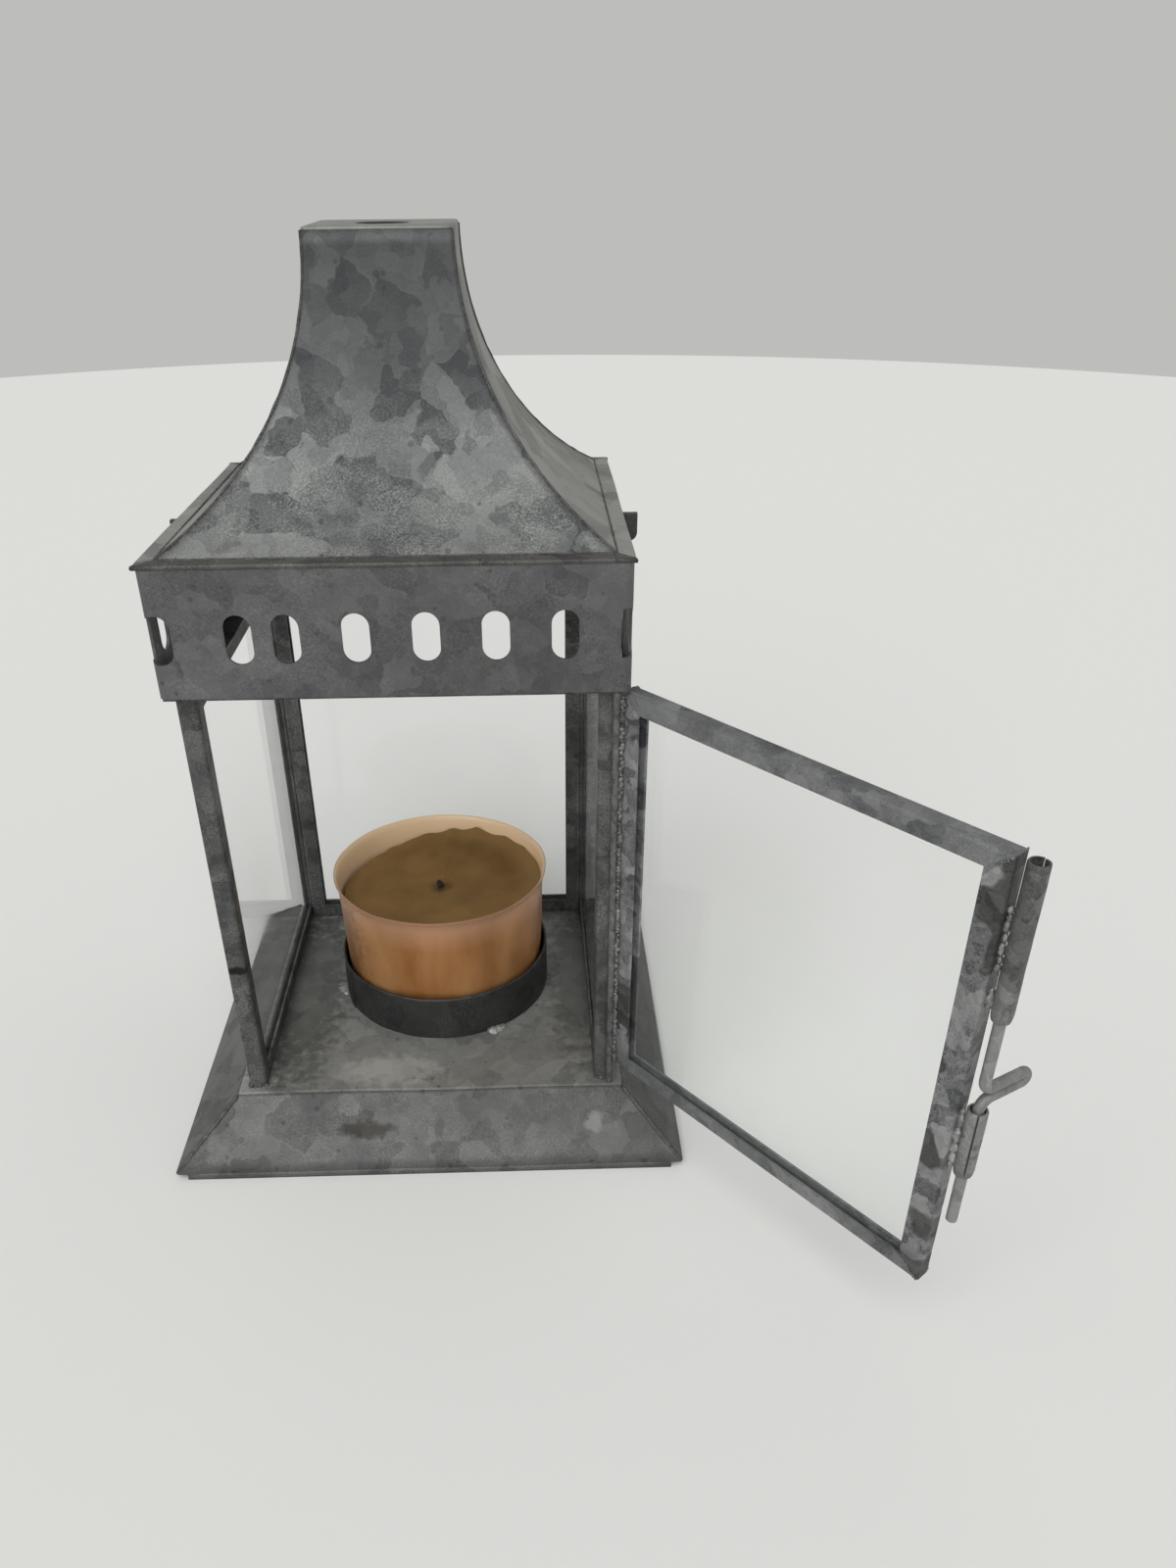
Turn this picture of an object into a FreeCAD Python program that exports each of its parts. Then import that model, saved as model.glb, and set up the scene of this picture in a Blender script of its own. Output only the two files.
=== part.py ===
import FreeCAD, Part
import math
import os

Vector = FreeCAD.Vector
ORIGIN = Vector(0, 0, 0)
ALONG_X = Vector(1, 0, 0)
ALONG_Y = Vector(0, 1, 0)
UP = Vector(0, 0, 1)

# Galvanised sheet, and how far every cutting shape runs past what it cuts
sheet = 0.4
overrun = 2.0
fold_radius = 0.6

# Whole lantern: its height, its glazed body, and how far the other parts stand out past that body
lantern_height = 136.0
body_width = 61.3
body_depth = 54.6
deck_step_x = 1.65
deck_step_y = 1.7
cornice_step_x = 1.35
cornice_step_y = 2.2
eaves_step = 0.2

# Base: a shallow pan folded from one sheet, with a deck, sloping skirts and short lips at the foot
base_height = 10.0
skirt_run_x = 9.7
skirt_run_y = 9.5
lip_height = 1.2
lip_corner_gap = 2.0

# Glazed panes: folded channels round a sheet of glass, as high as the other heights leave them
pane_thickness = 3.0
pane_leg = 2.8
glass_play = 0.1

# Door: the same channels, hung on a wire in front of the right hand pane
door_free_step = 0.95
door_lift = 3.9
door_headroom = 0.25
door_stile_leg = 3.3
door_rail_leg = 2.6
door_open_angle = 129.2
hinge_radius = 0.6
hinge_play = 0.06
hinge_inset = 0.45
hinge_gap = 0.1
hinge_stand_off = 0.05
hinge_edge_step = 0.1
hinge_below_deck = 1.2
hinge_above_ledge = 0.8

# Latch: a wire bolt with a thumb loop in two rolled tubes on the free edge of the door
bolt_radius = 0.725
bolt_play = 0.3
bolt_rise = 12.75
bolt_length = 44.0
tube_wall = 0.28
tube_stand_off = 0.6
tube_taper = 1.2
tube_taper_inset = 0.15
tube_seam = 0.25
upper_tube_rise = 45.35
upper_tube_length = 21.1
lower_tube_rise = 20.95
lower_tube_length = 10.7
lower_seam_turn = -147.0
loop_reach = 8.2
loop_swivel = -11.0
loop_rest = 0.72
loop_gap = 0.05
loop_root_radius = 1.6

# Ledge: a frame on top of the panes, with four tabs turned up inside the cornice
ledge_shelf_x = 3.65
ledge_shelf_y = 4.3
ledge_tab_length = 40.0
ledge_tab_height = 1.6

# Cornice: a punched strip folded into a band and closed by a lap; one slot at a corner was punched late
cornice_height = 17.6
slot_width = 3.7
slot_height = 6.8
slot_rise = 8.2
slot_count = 27
first_slot_x = -13.85
corner_slot_slip = 1.4
seam_x = -17.2
seam_tab = 3.0

# Roof: four panels bent to one arc, standing back from the edge of a flat hem, and a cap with a vent
hem_height = 0.75
hem_lip = 2.4
hem_depth = 3.5
roof_height = 36.7
roof_arc_radius = 42.0
chimney_width = 19.2
chimney_depth = 17.7
vent_radius = 3.55

# Ears, one on each side of the cornice
ear_reach = 2.9
ear_height = 4.1
ear_drop = 1.2
ear_thickness = 1.0
ear_corner_radius = 1.3
ear_foot_width = 4.4
ear_foot_thickness = 0.5

# Candle: a cup of wax standing loose in its ring
candle_x = 1.3
candle_back_gap = 1.85
ring_radius = 19.05
ring_wall = 0.5
ring_height = 8.4
cup_foot_radius = 17.7
cup_neck_radius = 18.6
cup_neck_height = 23.5
cup_rim_radius = 19.2
cup_height = 24.5
cup_wall = 0.4
wax_level = 21.0
wax_play = 0.02
wick_radius = 0.6
wick_stub = 1.0
tab_radius = 6.0
tab_thickness = 0.3
collar_radius = 1.1
collar_height = 2.0

# Solder
bead_length = 2.6
bead_width = 1.2
upper_bead_shares = (0.12, 0.42, 0.63, 0.86)
lower_bead_shares = (0.16, 0.42, 0.72)
hinge_bead_shares = (0.08, 0.5, 0.9)
tack_radius = 1.3
tack_height = 0.7
tack_angles = (-62.0, 75.0, 190.0)

# Heights of the stack, from the table up and from the cap down
deck_top = base_height
roof_top = lantern_height - sheet
cornice_top = roof_top - roof_height
hem_top = cornice_top + hem_height
ledge_top = cornice_top - cornice_height
pane_top = ledge_top - sheet
pane_height = pane_top - deck_top

# Outlines of the stack
deck_width = body_width + 2 * deck_step_x
deck_depth = body_depth + 2 * deck_step_y
base_width = deck_width + 2 * skirt_run_x
base_depth = deck_depth + 2 * skirt_run_y
cornice_width = body_width + 2 * cornice_step_x
cornice_depth = body_depth + 2 * cornice_step_y
eaves_width = cornice_width + 2 * eaves_step
eaves_depth = cornice_depth + 2 * eaves_step

# The slots divide the strip evenly, its lap included, before it is folded into the band
girth = 2 * (cornice_width + cornice_depth)
slot_pitch = (girth + seam_tab) / slot_count

# The candle stands back from the middle, near the back pane
candle_y = body_depth / 2 - pane_thickness - candle_back_gap - ring_radius

# The hinge wire stands just in front of the right hand pane, and the closed door lies in front of the wire
body_front = -body_depth / 2
hinge_x = body_width / 2 - hinge_inset
hinge_y = body_front - hinge_gap - hinge_radius
door_right = hinge_x - hinge_edge_step
door_left = door_free_step - body_width / 2
door_width = door_right - door_left
door_back = hinge_y - hinge_radius - hinge_stand_off
door_low = deck_top + door_lift
door_height = pane_height - door_lift - door_headroom

# The latch hangs on the free edge of the door, with the loop of the bolt resting on the lower tube
tube_bore = bolt_radius + bolt_play
tube_radius = tube_bore + tube_wall
bolt_x = door_left - tube_stand_off - tube_radius
bolt_y = door_back - pane_thickness / 2
upper_tube_low = door_low + upper_tube_rise
upper_tube_high = upper_tube_low + upper_tube_length
lower_tube_low = door_low + lower_tube_rise
lower_tube_high = lower_tube_low + lower_tube_length
bolt_low = door_low + bolt_rise
bolt_high = bolt_low + bolt_length
loop_low = lower_tube_high + loop_rest + bolt_radius


def save(name, shape):
    """Write one sub-part to its own file."""
    shape.exportStep("parts/" + name + ".step")


def block(x, y, z, width, depth, height):
    """A box from its low corner and its three sizes."""
    return Part.makeBox(width, depth, height, Vector(x, y, z))


def plate(width, depth, low_z, thickness):
    """A rectangular plate centred on the lantern's axis."""
    return block(-width / 2, -depth / 2, low_z, width, depth, thickness)


def rod(x, y, low_z, radius, length):
    """An upright round rod."""
    return Part.makeCylinder(radius, length, Vector(x, y, low_z))


def through_rod(x, y, low_z, radius, length):
    """The rod that cuts a hole right through something of that length."""
    return rod(x, y, low_z - overrun, radius, length + 2 * overrun)


def frustum(low_width, low_depth, low_z, high_width, high_depth, high_z):
    """A solid with a rectangle below, a rectangle above and four flat sloping sides."""
    corners = []
    for width, depth, z in ((low_width, low_depth, low_z), (high_width, high_depth, high_z)):
        for x_side, y_side in ((-1, -1), (1, -1), (1, 1), (-1, 1)):
            corners.append(Vector(x_side * width / 2, y_side * depth / 2, z))
    rings = [(0, 3, 2, 1), (4, 5, 6, 7), (0, 1, 5, 4), (1, 2, 6, 5), (2, 3, 7, 6), (3, 0, 4, 7)]
    faces = []
    for ring in rings:
        outline = [corners[index] for index in ring + ring[:1]]
        faces.append(Part.Face(Part.makePolygon(outline)))
    return Part.Solid(Part.Shell(faces))


def on_door(shape):
    """Swing a shape of the closed door to where the door stands open."""
    opened = shape.copy()
    opened.rotate(Vector(hinge_x, hinge_y, 0), UP, door_open_angle)
    return opened


os.makedirs("parts", exist_ok=True)

# Base pan
skirt_rise = deck_top - lip_height
run_x = (base_width - deck_width) / 2
run_y = (base_depth - deck_depth) / 2
wall_x = sheet * math.hypot(run_x, skirt_rise) / skirt_rise
wall_y = sheet * math.hypot(run_y, skirt_rise) / skirt_rise
hollow_width = deck_width + 2 * sheet * run_x / skirt_rise - 2 * wall_x
hollow_depth = deck_depth + 2 * sheet * run_y / skirt_rise - 2 * wall_y
base_pan = frustum(base_width, base_depth, lip_height, deck_width, deck_depth, deck_top)
base_pan = base_pan.cut(frustum(base_width - 2 * wall_x, base_depth - 2 * wall_y, lip_height,
                                hollow_width, hollow_depth, deck_top - sheet))
long_lip = base_width - 2 * lip_corner_gap
short_lip = base_depth - 2 * lip_corner_gap
base_pan = base_pan.fuse([
    block(-long_lip / 2, -base_depth / 2, 0, long_lip, sheet, lip_height),
    block(-long_lip / 2, base_depth / 2 - sheet, 0, long_lip, sheet, lip_height),
    block(-base_width / 2, -short_lip / 2, 0, sheet, short_lip, lip_height),
    block(base_width / 2 - sheet, -short_lip / 2, 0, sheet, short_lip, lip_height),
])
base_pan = base_pan.cut(through_rod(hinge_x, hinge_y, deck_top - sheet, hinge_radius + hinge_play, sheet))
save("base_pan", base_pan.removeSplitter())

# Candle ring and the solder that holds it to the deck
ring_outside = rod(candle_x, candle_y, deck_top, ring_radius, ring_height)
save("candle_ring", ring_outside.cut(
    through_rod(candle_x, candle_y, deck_top, ring_radius - ring_wall, ring_height)))
tacks = []
for angle in tack_angles:
    tack_x = candle_x + ring_radius * math.cos(math.radians(angle))
    tack_y = candle_y + ring_radius * math.sin(math.radians(angle))
    tack = Part.makeCone(tack_radius, tack_radius / 2, tack_height, Vector(tack_x, tack_y, deck_top))
    tacks.append(tack.cut(ring_outside))
save("ring_solder", Part.makeCompound(tacks))


def turned(outline):
    """A body of revolution standing on the deck at the candle, from (radius, height) points."""
    points = [Vector(radius, 0, height) for radius, height in outline]
    body = Part.Face(Part.makePolygon(points + points[:1])).revolve(ORIGIN, UP, 360)
    body.translate(Vector(candle_x, candle_y, deck_top))
    return body


# Candle cup
save("candle_cup", turned((
    (0, 0),
    (cup_foot_radius, 0),
    (cup_neck_radius, cup_neck_height),
    (cup_rim_radius, cup_height),
    (cup_rim_radius - cup_wall, cup_height),
    (cup_neck_radius - cup_wall, cup_neck_height),
    (cup_foot_radius - cup_wall, cup_wall),
    (0, cup_wall),
)))

# Wick tab, wick and wax
floor_z = deck_top + cup_wall
tab = rod(candle_x, candle_y, floor_z, tab_radius, tab_thickness)
collar = rod(candle_x, candle_y, floor_z + tab_thickness, collar_radius, collar_height)
socket = rod(candle_x, candle_y, floor_z + tab_thickness, wick_radius, collar_height)
save("candle_wick_tab", tab.fuse(collar).cut(socket))
wick_length = wax_level + wick_stub - cup_wall - tab_thickness
save("candle_wick", rod(candle_x, candle_y, floor_z + tab_thickness, wick_radius, wick_length))
flare_share = (cup_neck_radius - cup_foot_radius) / cup_neck_height
wax_foot_radius = cup_foot_radius - cup_wall - wax_play
wax = turned((
    (0, cup_wall),
    (wax_foot_radius, cup_wall),
    (wax_foot_radius + flare_share * (wax_level - cup_wall), wax_level),
    (0, wax_level),
))
save("candle_wax", wax.cut([
    rod(candle_x, candle_y, floor_z - overrun, tab_radius + wax_play, tab_thickness + wax_play + overrun),
    rod(candle_x, candle_y, floor_z, collar_radius + wax_play, tab_thickness + collar_height + wax_play),
    through_rod(candle_x, candle_y, floor_z, wick_radius + wax_play, wax_level),
]))


def channel(outline, web_start, web_direction, slot):
    """One mitred channel: a strip with its two outer edges rounded and a slot for the glass."""
    strip = Part.Face(Part.makePolygon(list(outline) + [outline[0]])).extrude(ALONG_Y * pane_thickness)
    folds = []
    for edge in strip.Edges:
        along = edge.Vertexes[1].Point - edge.Vertexes[0].Point
        offset = edge.CenterOfMass - web_start
        parallel = along.cross(web_direction).Length < sheet / 100
        if parallel and abs(offset.cross(web_direction).y) < sheet / 100:
            folds.append(edge)
    return strip.makeFillet(fold_radius, folds).cut(slot)


def glazed_pane(width, height, side_leg, rail_leg):
    """Four mitred channels and their glass, standing in the XZ plane with the low corner at the origin."""
    low_left = ORIGIN
    low_right = Vector(width, 0, 0)
    high_left = Vector(0, 0, height)
    high_right = Vector(width, 0, height)
    inner_low_left = Vector(side_leg, 0, rail_leg)
    inner_low_right = Vector(width - side_leg, 0, rail_leg)
    inner_high_left = Vector(side_leg, 0, height - rail_leg)
    inner_high_right = Vector(width - side_leg, 0, height - rail_leg)
    slot = block(sheet, sheet, sheet, width - 2 * sheet, pane_thickness - 2 * sheet, height - 2 * sheet)
    margin = sheet + glass_play
    glass = block(margin, margin, sheet, width - 2 * margin, pane_thickness - 2 * margin,
                  height - sheet - margin)
    return (
        channel((low_left, inner_low_left, inner_high_left, high_left), low_left, UP, slot),
        channel((low_right, high_right, inner_high_right, inner_low_right), low_right, UP, slot),
        channel((high_left, inner_high_left, inner_high_right, high_right), high_left, ALONG_X, slot),
        channel((low_left, low_right, inner_low_right, inner_low_left), low_left, ALONG_X, slot),
        glass,
    )


def save_pane(names, pieces, turn, x, y, z, finish):
    """Turn the pieces of a pane about the upright axis, set them down and write them."""
    for name, piece in zip(names, pieces):
        placed = piece.copy()
        placed.rotate(ORIGIN, UP, turn)
        placed.translate(Vector(x, y, z))
        save(name, finish(placed))


# Side panes run the full depth, and the back pane fits between them
side_parts = ("front_channel", "rear_channel", "top_channel", "bottom_channel", "glass")
back_parts = ("left_channel", "right_channel", "top_channel", "bottom_channel", "glass")
door_parts = ("free_stile", "hinge_stile", "top_rail", "bottom_rail", "glass")
side_pane = glazed_pane(body_depth, pane_height, pane_leg, pane_leg)
save_pane(["left_pane_" + part for part in side_parts], side_pane, 90,
          pane_thickness - body_width / 2, body_front, deck_top, Part.Shape.copy)
save_pane(["right_pane_" + part for part in side_parts], side_pane, 90,
          body_width / 2, body_front, deck_top, Part.Shape.copy)
back_width = body_width - 2 * pane_thickness
save_pane(["back_pane_" + part for part in back_parts],
          glazed_pane(back_width, pane_height, pane_leg, pane_leg), 0,
          -back_width / 2, body_depth / 2 - pane_thickness, deck_top, Part.Shape.copy)

# Door frame and glass, set out closed and swung open
save_pane(["door_" + part for part in door_parts],
          glazed_pane(door_width, door_height, door_stile_leg, door_rail_leg), 0,
          door_left, door_back - pane_thickness, door_low, on_door)

# Hinge wire, soldered to the door and turning in the deck and the ledge
wire_low = deck_top - hinge_below_deck
wire_length = ledge_top + hinge_above_ledge - wire_low
hinge_wire = rod(hinge_x, hinge_y, wire_low, hinge_radius, wire_length)
save("door_hinge_wire", hinge_wire)
beads = []
for share in hinge_bead_shares:
    bead_z = door_low + share * (door_height - bead_length)
    bead = block(door_right - bead_width, door_back, bead_z, bead_width, hinge_radius, bead_length)
    beads.append(on_door(bead.cut(hinge_wire)))
save("door_hinge_solder", Part.makeCompound(beads))


def latch_tube(low_z, high_z):
    """A rolled guide tube with a pinched lower end and its seam down the front."""
    pinch = Part.makeCone(tube_radius - tube_taper_inset, tube_radius, tube_taper, Vector(bolt_x, bolt_y, low_z))
    barrel = rod(bolt_x, bolt_y, low_z + tube_taper, tube_radius, high_z - low_z - tube_taper)
    bore = through_rod(bolt_x, bolt_y, low_z, tube_bore, high_z - low_z)
    seam = block(bolt_x - tube_seam / 2, bolt_y - tube_radius - overrun, low_z - overrun,
                 tube_seam, tube_radius + overrun, high_z - low_z + 2 * overrun)
    return pinch.fuse(barrel).cut([bore, seam])


# Latch tubes, with beads of solder between them and the edge of the door
save("latch_upper_tube", on_door(latch_tube(upper_tube_low, upper_tube_high)))
lower_tube = latch_tube(lower_tube_low, lower_tube_high)
lower_tube.rotate(Vector(bolt_x, bolt_y, 0), UP, lower_seam_turn)
save("latch_lower_tube", on_door(lower_tube))
beads = []
for low_z, high_z, shares in ((upper_tube_low, upper_tube_high, upper_bead_shares),
                              (lower_tube_low, lower_tube_high, lower_bead_shares)):
    barrel_low = low_z + tube_taper
    barrel = rod(bolt_x, bolt_y, barrel_low, tube_radius, high_z - barrel_low)
    for share in shares:
        bead_z = barrel_low + share * (high_z - barrel_low - bead_length)
        bead = block(bolt_x, bolt_y - bead_width / 2, bead_z, door_left - bolt_x, bead_width, bead_length)
        beads.append(on_door(bead.cut(barrel)))
save("latch_solder", Part.makeCompound(beads))


def bolt_point(y, z):
    """A point in the plane that the bolt is bent in."""
    return Vector(bolt_x, y, z)


# Bolt: one bent wire that runs straight down the tubes, with a tight loop for the thumb
loop_high = loop_low + 2 * bolt_radius + loop_gap
turn_radius = (loop_high - loop_low) / 2
turn_y = bolt_y - loop_reach + bolt_radius + turn_radius
root_y = bolt_y - loop_root_radius
root_share = 1 - math.sqrt(0.5)
bend_y = bolt_y - loop_root_radius * root_share
bend_rise = loop_root_radius * root_share
route = [
    Part.LineSegment(bolt_point(bolt_y, bolt_high), bolt_point(bolt_y, loop_high + loop_root_radius)),
    Part.Arc(bolt_point(bolt_y, loop_high + loop_root_radius), bolt_point(bend_y, loop_high + bend_rise),
             bolt_point(root_y, loop_high)),
    Part.LineSegment(bolt_point(root_y, loop_high), bolt_point(turn_y, loop_high)),
    Part.Arc(bolt_point(turn_y, loop_high), bolt_point(turn_y - turn_radius, loop_low + turn_radius),
             bolt_point(turn_y, loop_low)),
    Part.LineSegment(bolt_point(turn_y, loop_low), bolt_point(root_y, loop_low)),
    Part.Arc(bolt_point(root_y, loop_low), bolt_point(bend_y, loop_low - bend_rise),
             bolt_point(bolt_y, loop_low - loop_root_radius)),
    Part.LineSegment(bolt_point(bolt_y, loop_low - loop_root_radius), bolt_point(bolt_y, bolt_low)),
]
spine = Part.Wire([piece.toShape() for piece in route])
section = Part.Wire([Part.makeCircle(bolt_radius, bolt_point(bolt_y, bolt_high), UP)])
bolt = spine.makePipeShell([section], True, False)
bolt.rotate(Vector(bolt_x, bolt_y, 0), UP, loop_swivel)
save("latch_bolt", on_door(bolt))

# Ledge frame on top of the panes
ledge_width = cornice_width - 2 * sheet
ledge_depth = cornice_depth - 2 * sheet
tab_length = ledge_tab_length
tab_z = ledge_top
ledge = plate(ledge_width, ledge_depth, pane_top, sheet)
ledge = ledge.cut(plate(body_width - 2 * ledge_shelf_x, body_depth - 2 * ledge_shelf_y,
                        pane_top - overrun, sheet + 2 * overrun))
ledge = ledge.cut(through_rod(hinge_x, hinge_y, pane_top, hinge_radius + hinge_play, sheet))
ledge = ledge.fuse([
    block(-tab_length / 2, -ledge_depth / 2, tab_z, tab_length, sheet, ledge_tab_height),
    block(-tab_length / 2, ledge_depth / 2 - sheet, tab_z, tab_length, sheet, ledge_tab_height),
    block(-ledge_width / 2, -tab_length / 2, tab_z, sheet, tab_length, ledge_tab_height),
    block(ledge_width / 2 - sheet, -tab_length / 2, tab_z, sheet, tab_length, ledge_tab_height),
])
save("ledge_frame", ledge.removeSplitter())


def slot_punch():
    """A round-ended upright punch that stands across a wall in the XZ plane."""
    straight = slot_height - slot_width
    reach = 4 * sheet
    punch = block(-slot_width / 2, -reach / 2, -straight / 2, slot_width, reach, straight)
    ends = [Part.makeCylinder(slot_width / 2, reach, Vector(0, -reach / 2, end * straight / 2), ALONG_Y)
            for end in (-1, 1)]
    return punch.fuse(ends)


# Cornice band: the slots are spaced along the flat strip, so they run on round the corners
cornice = plate(cornice_width, cornice_depth, ledge_top, cornice_height)
cornice = cornice.cut(plate(cornice_width - 2 * sheet, cornice_depth - 2 * sheet,
                            ledge_top - overrun, cornice_height + 2 * overrun))
tab_y = sheet - cornice_depth / 2
cornice = cornice.fuse(block(seam_x - seam_tab / 2, tab_y, ledge_top + ledge_tab_height,
                             seam_tab, sheet, cornice_height - ledge_tab_height))
walls = ((0, cornice_width, cornice_depth, 0), (cornice_width, cornice_depth, cornice_width, 90),
         (cornice_width + cornice_depth, cornice_width, cornice_depth, 180),
         (girth - cornice_depth, cornice_depth, cornice_width, 270))
punches = []
for index in range(slot_count):
    slip = corner_slot_slip if index == slot_count - 2 else 0
    travel = first_slot_x + cornice_width / 2 + index * slot_pitch - slip
    for start, length, across, turn in walls:
        for along in (travel - start, travel - start - girth):
            if -slot_width / 2 < along < length + slot_width / 2:
                punch = slot_punch()
                punch.translate(Vector(along - length / 2, (sheet - across) / 2, ledge_top + slot_rise))
                punch.rotate(ORIGIN, UP, turn)
                punches.append(punch)
save("cornice_band", cornice.cut(punches).removeSplitter())


def roof_bulk(foot, chimney, inset, length, across_x):
    """The solid below two opposite roof arcs, as long as the roof is; the inset moves it inwards."""
    run = (foot - chimney) / 2
    rise = roof_top - hem_top
    chord = math.hypot(run, rise)
    reach = math.sqrt(roof_arc_radius ** 2 - chord ** 2 / 4)
    centre_x = (foot + chimney) / 4 + reach * rise / chord
    centre_z = (hem_top + roof_top) / 2 + reach * run / chord
    arcs = []
    for side in (1, -1):
        points = []
        for z in (hem_top, (hem_top + roof_top) / 2, roof_top):
            half = centre_x - math.sqrt((roof_arc_radius + inset) ** 2 - (z - centre_z) ** 2)
            points.append(Vector(side * half, 0, z))
        arcs.append(points)
    right, left = arcs
    outline = Part.Wire([
        Part.LineSegment(left[0], right[0]).toShape(),
        Part.Arc(right[0], right[1], right[2]).toShape(),
        Part.LineSegment(right[2], left[2]).toShape(),
        Part.Arc(left[2], left[1], left[0]).toShape(),
    ])
    bulk = Part.Face(outline).extrude(ALONG_Y * length)
    bulk.translate(ALONG_Y * (-length / 2))
    if not across_x:
        bulk.rotate(ORIGIN, UP, 90)
    return bulk


# Roof: the front and back panels run out over the side panels at the ridges
roof_width = eaves_width - 2 * hem_lip
roof_depth = eaves_depth - 2 * hem_lip
side_outside = roof_bulk(roof_width, chimney_width, 0, roof_depth, True)
side_inside = roof_bulk(roof_width, chimney_width, sheet, roof_depth, True)
front_outside = roof_bulk(roof_depth, chimney_depth, 0, roof_width, False)
front_inside = roof_bulk(roof_depth, chimney_depth, sheet, roof_width, False)
front_and_back = front_outside.cut(front_inside).common(side_outside)
sides = side_outside.cut(side_inside).common(front_inside)
side_hem = eaves_depth - 2 * hem_depth
halves = (
    ("roof_front", front_and_back, -eaves_width / 2, -eaves_depth / 2, eaves_width, eaves_depth / 2,
     block(-eaves_width / 2, -eaves_depth / 2, cornice_top, eaves_width, hem_depth, hem_height)),
    ("roof_back", front_and_back, -eaves_width / 2, 0, eaves_width, eaves_depth / 2,
     block(-eaves_width / 2, eaves_depth / 2 - hem_depth, cornice_top, eaves_width, hem_depth, hem_height)),
    ("roof_left", sides, -eaves_width / 2, -eaves_depth / 2, eaves_width / 2, eaves_depth,
     block(-eaves_width / 2, -side_hem / 2, cornice_top, hem_depth, side_hem, hem_height)),
    ("roof_right", sides, 0, -eaves_depth / 2, eaves_width / 2, eaves_depth,
     block(eaves_width / 2 - hem_depth, -side_hem / 2, cornice_top, hem_depth, side_hem, hem_height)),
)
for name, pair, x, y, width, depth, hem in halves:
    panel = pair.common(block(x, y, cornice_top, width, depth, roof_height))
    save(name, panel.fuse(hem).removeSplitter())

# Chimney cap
cap = plate(chimney_width, chimney_depth, roof_top, sheet)
save("chimney_cap", cap.cut(through_rod(0, 0, roof_top, vent_radius, sheet)))

# Ears
ear_low = cornice_top - ear_drop - ear_height
ear_root = cornice_width / 2
ear_tip = ear_root + ear_reach
lug = block(ear_root, -ear_thickness / 2, ear_low, ear_reach, ear_thickness, ear_height)
for edge in lug.Edges:
    centre = edge.CenterOfMass
    if abs(centre.x - ear_tip) < sheet / 100 and abs(centre.z - ear_low) < sheet / 100:
        lower_corner = edge
lug = lug.makeFillet(ear_corner_radius, [lower_corner])
ear_foot = block(ear_root, -ear_foot_width / 2, ear_low, ear_foot_thickness, ear_foot_width, ear_height)
ear = lug.fuse(ear_foot).removeSplitter()
save("ear_right", ear)
save("ear_left", ear.mirror(ORIGIN, ALONG_X))
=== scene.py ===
import math

import bmesh
import bpy
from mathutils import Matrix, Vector, noise


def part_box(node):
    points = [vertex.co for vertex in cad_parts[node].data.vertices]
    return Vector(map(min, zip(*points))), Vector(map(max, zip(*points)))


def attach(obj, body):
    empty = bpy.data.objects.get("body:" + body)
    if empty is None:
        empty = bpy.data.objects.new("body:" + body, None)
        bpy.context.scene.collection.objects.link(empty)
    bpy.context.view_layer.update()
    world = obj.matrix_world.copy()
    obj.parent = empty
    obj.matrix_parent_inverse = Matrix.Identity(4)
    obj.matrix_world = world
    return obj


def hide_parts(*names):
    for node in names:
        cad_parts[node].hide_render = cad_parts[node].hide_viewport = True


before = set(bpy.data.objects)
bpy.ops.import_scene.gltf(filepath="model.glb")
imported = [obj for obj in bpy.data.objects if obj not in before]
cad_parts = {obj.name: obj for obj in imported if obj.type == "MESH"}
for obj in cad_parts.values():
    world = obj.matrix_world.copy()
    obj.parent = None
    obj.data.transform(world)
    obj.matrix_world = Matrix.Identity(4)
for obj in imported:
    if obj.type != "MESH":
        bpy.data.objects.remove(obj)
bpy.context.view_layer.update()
scene = bpy.context.scene
scene.view_settings.view_transform = "Standard"

# Camera: it stands above and in front of the open doorway, where the photograph was taken from.
# Its place is in metres, its angles in degrees, and the frame is 1200 by 1600 pixels.
frame_width = 1200
frame_height = 1600
focal_pixels = 1182.6
axis_column = 567.0
axis_row = 898.4
sensor_size = 36.0
camera_place = (0.01787, -0.17670, 0.14314)
camera_angles = (58.028, 0.437, -1.648)
camera_data = bpy.data.cameras.new("photo_camera")
camera_data.sensor_fit = "VERTICAL"
camera_data.sensor_height = sensor_size
camera_data.lens = focal_pixels / frame_height * sensor_size
camera_data.shift_x = (frame_width / 2 - axis_column) / frame_height
camera_data.shift_y = (axis_row - frame_height / 2) / frame_height
camera_data.clip_start = 0.005
camera = bpy.data.objects.new("photo_camera", camera_data)
scene.collection.objects.link(camera)
camera.location = camera_place
camera.rotation_euler = [math.radians(angle) for angle in camera_angles]
scene.camera = camera

# Stage: a plain pale round floor under a pale sky, one broad soft sun above the camera, a little to the left,
# and an even fill. Camera, glossy and transmission rays see the sky's own tone.
floor_radius = 0.9
floor_points = 256
floor_colour = (0.82, 0.82, 0.81, 1.0)
sky_colour = (0.51, 0.51, 0.495, 1.0)
sky_fill = 0.95
sun_strength = 1.75
sun_softness = 60.0
sun_angles = (42.0, -16.0, 0.0)


def add(tree, kind, inputs=None, **settings):
    """Add a node to a tree, set it up, and fill or link its inputs."""
    made = tree.nodes.new(kind)
    for name, value in settings.items():
        setattr(made, name, value)
    for name, value in (inputs or {}).items():
        if isinstance(value, bpy.types.NodeSocket):
            tree.links.new(value, made.inputs[name])
        else:
            made.inputs[name].default_value = value
    return made


def settle(name, mesh, body=None):
    """Put a mesh in the scene as an object of its own, riding on a body where one is given."""
    piece = bpy.data.objects.new(name, mesh)
    scene.collection.objects.link(piece)
    if body:
        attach(piece, body)
    return piece


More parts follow.
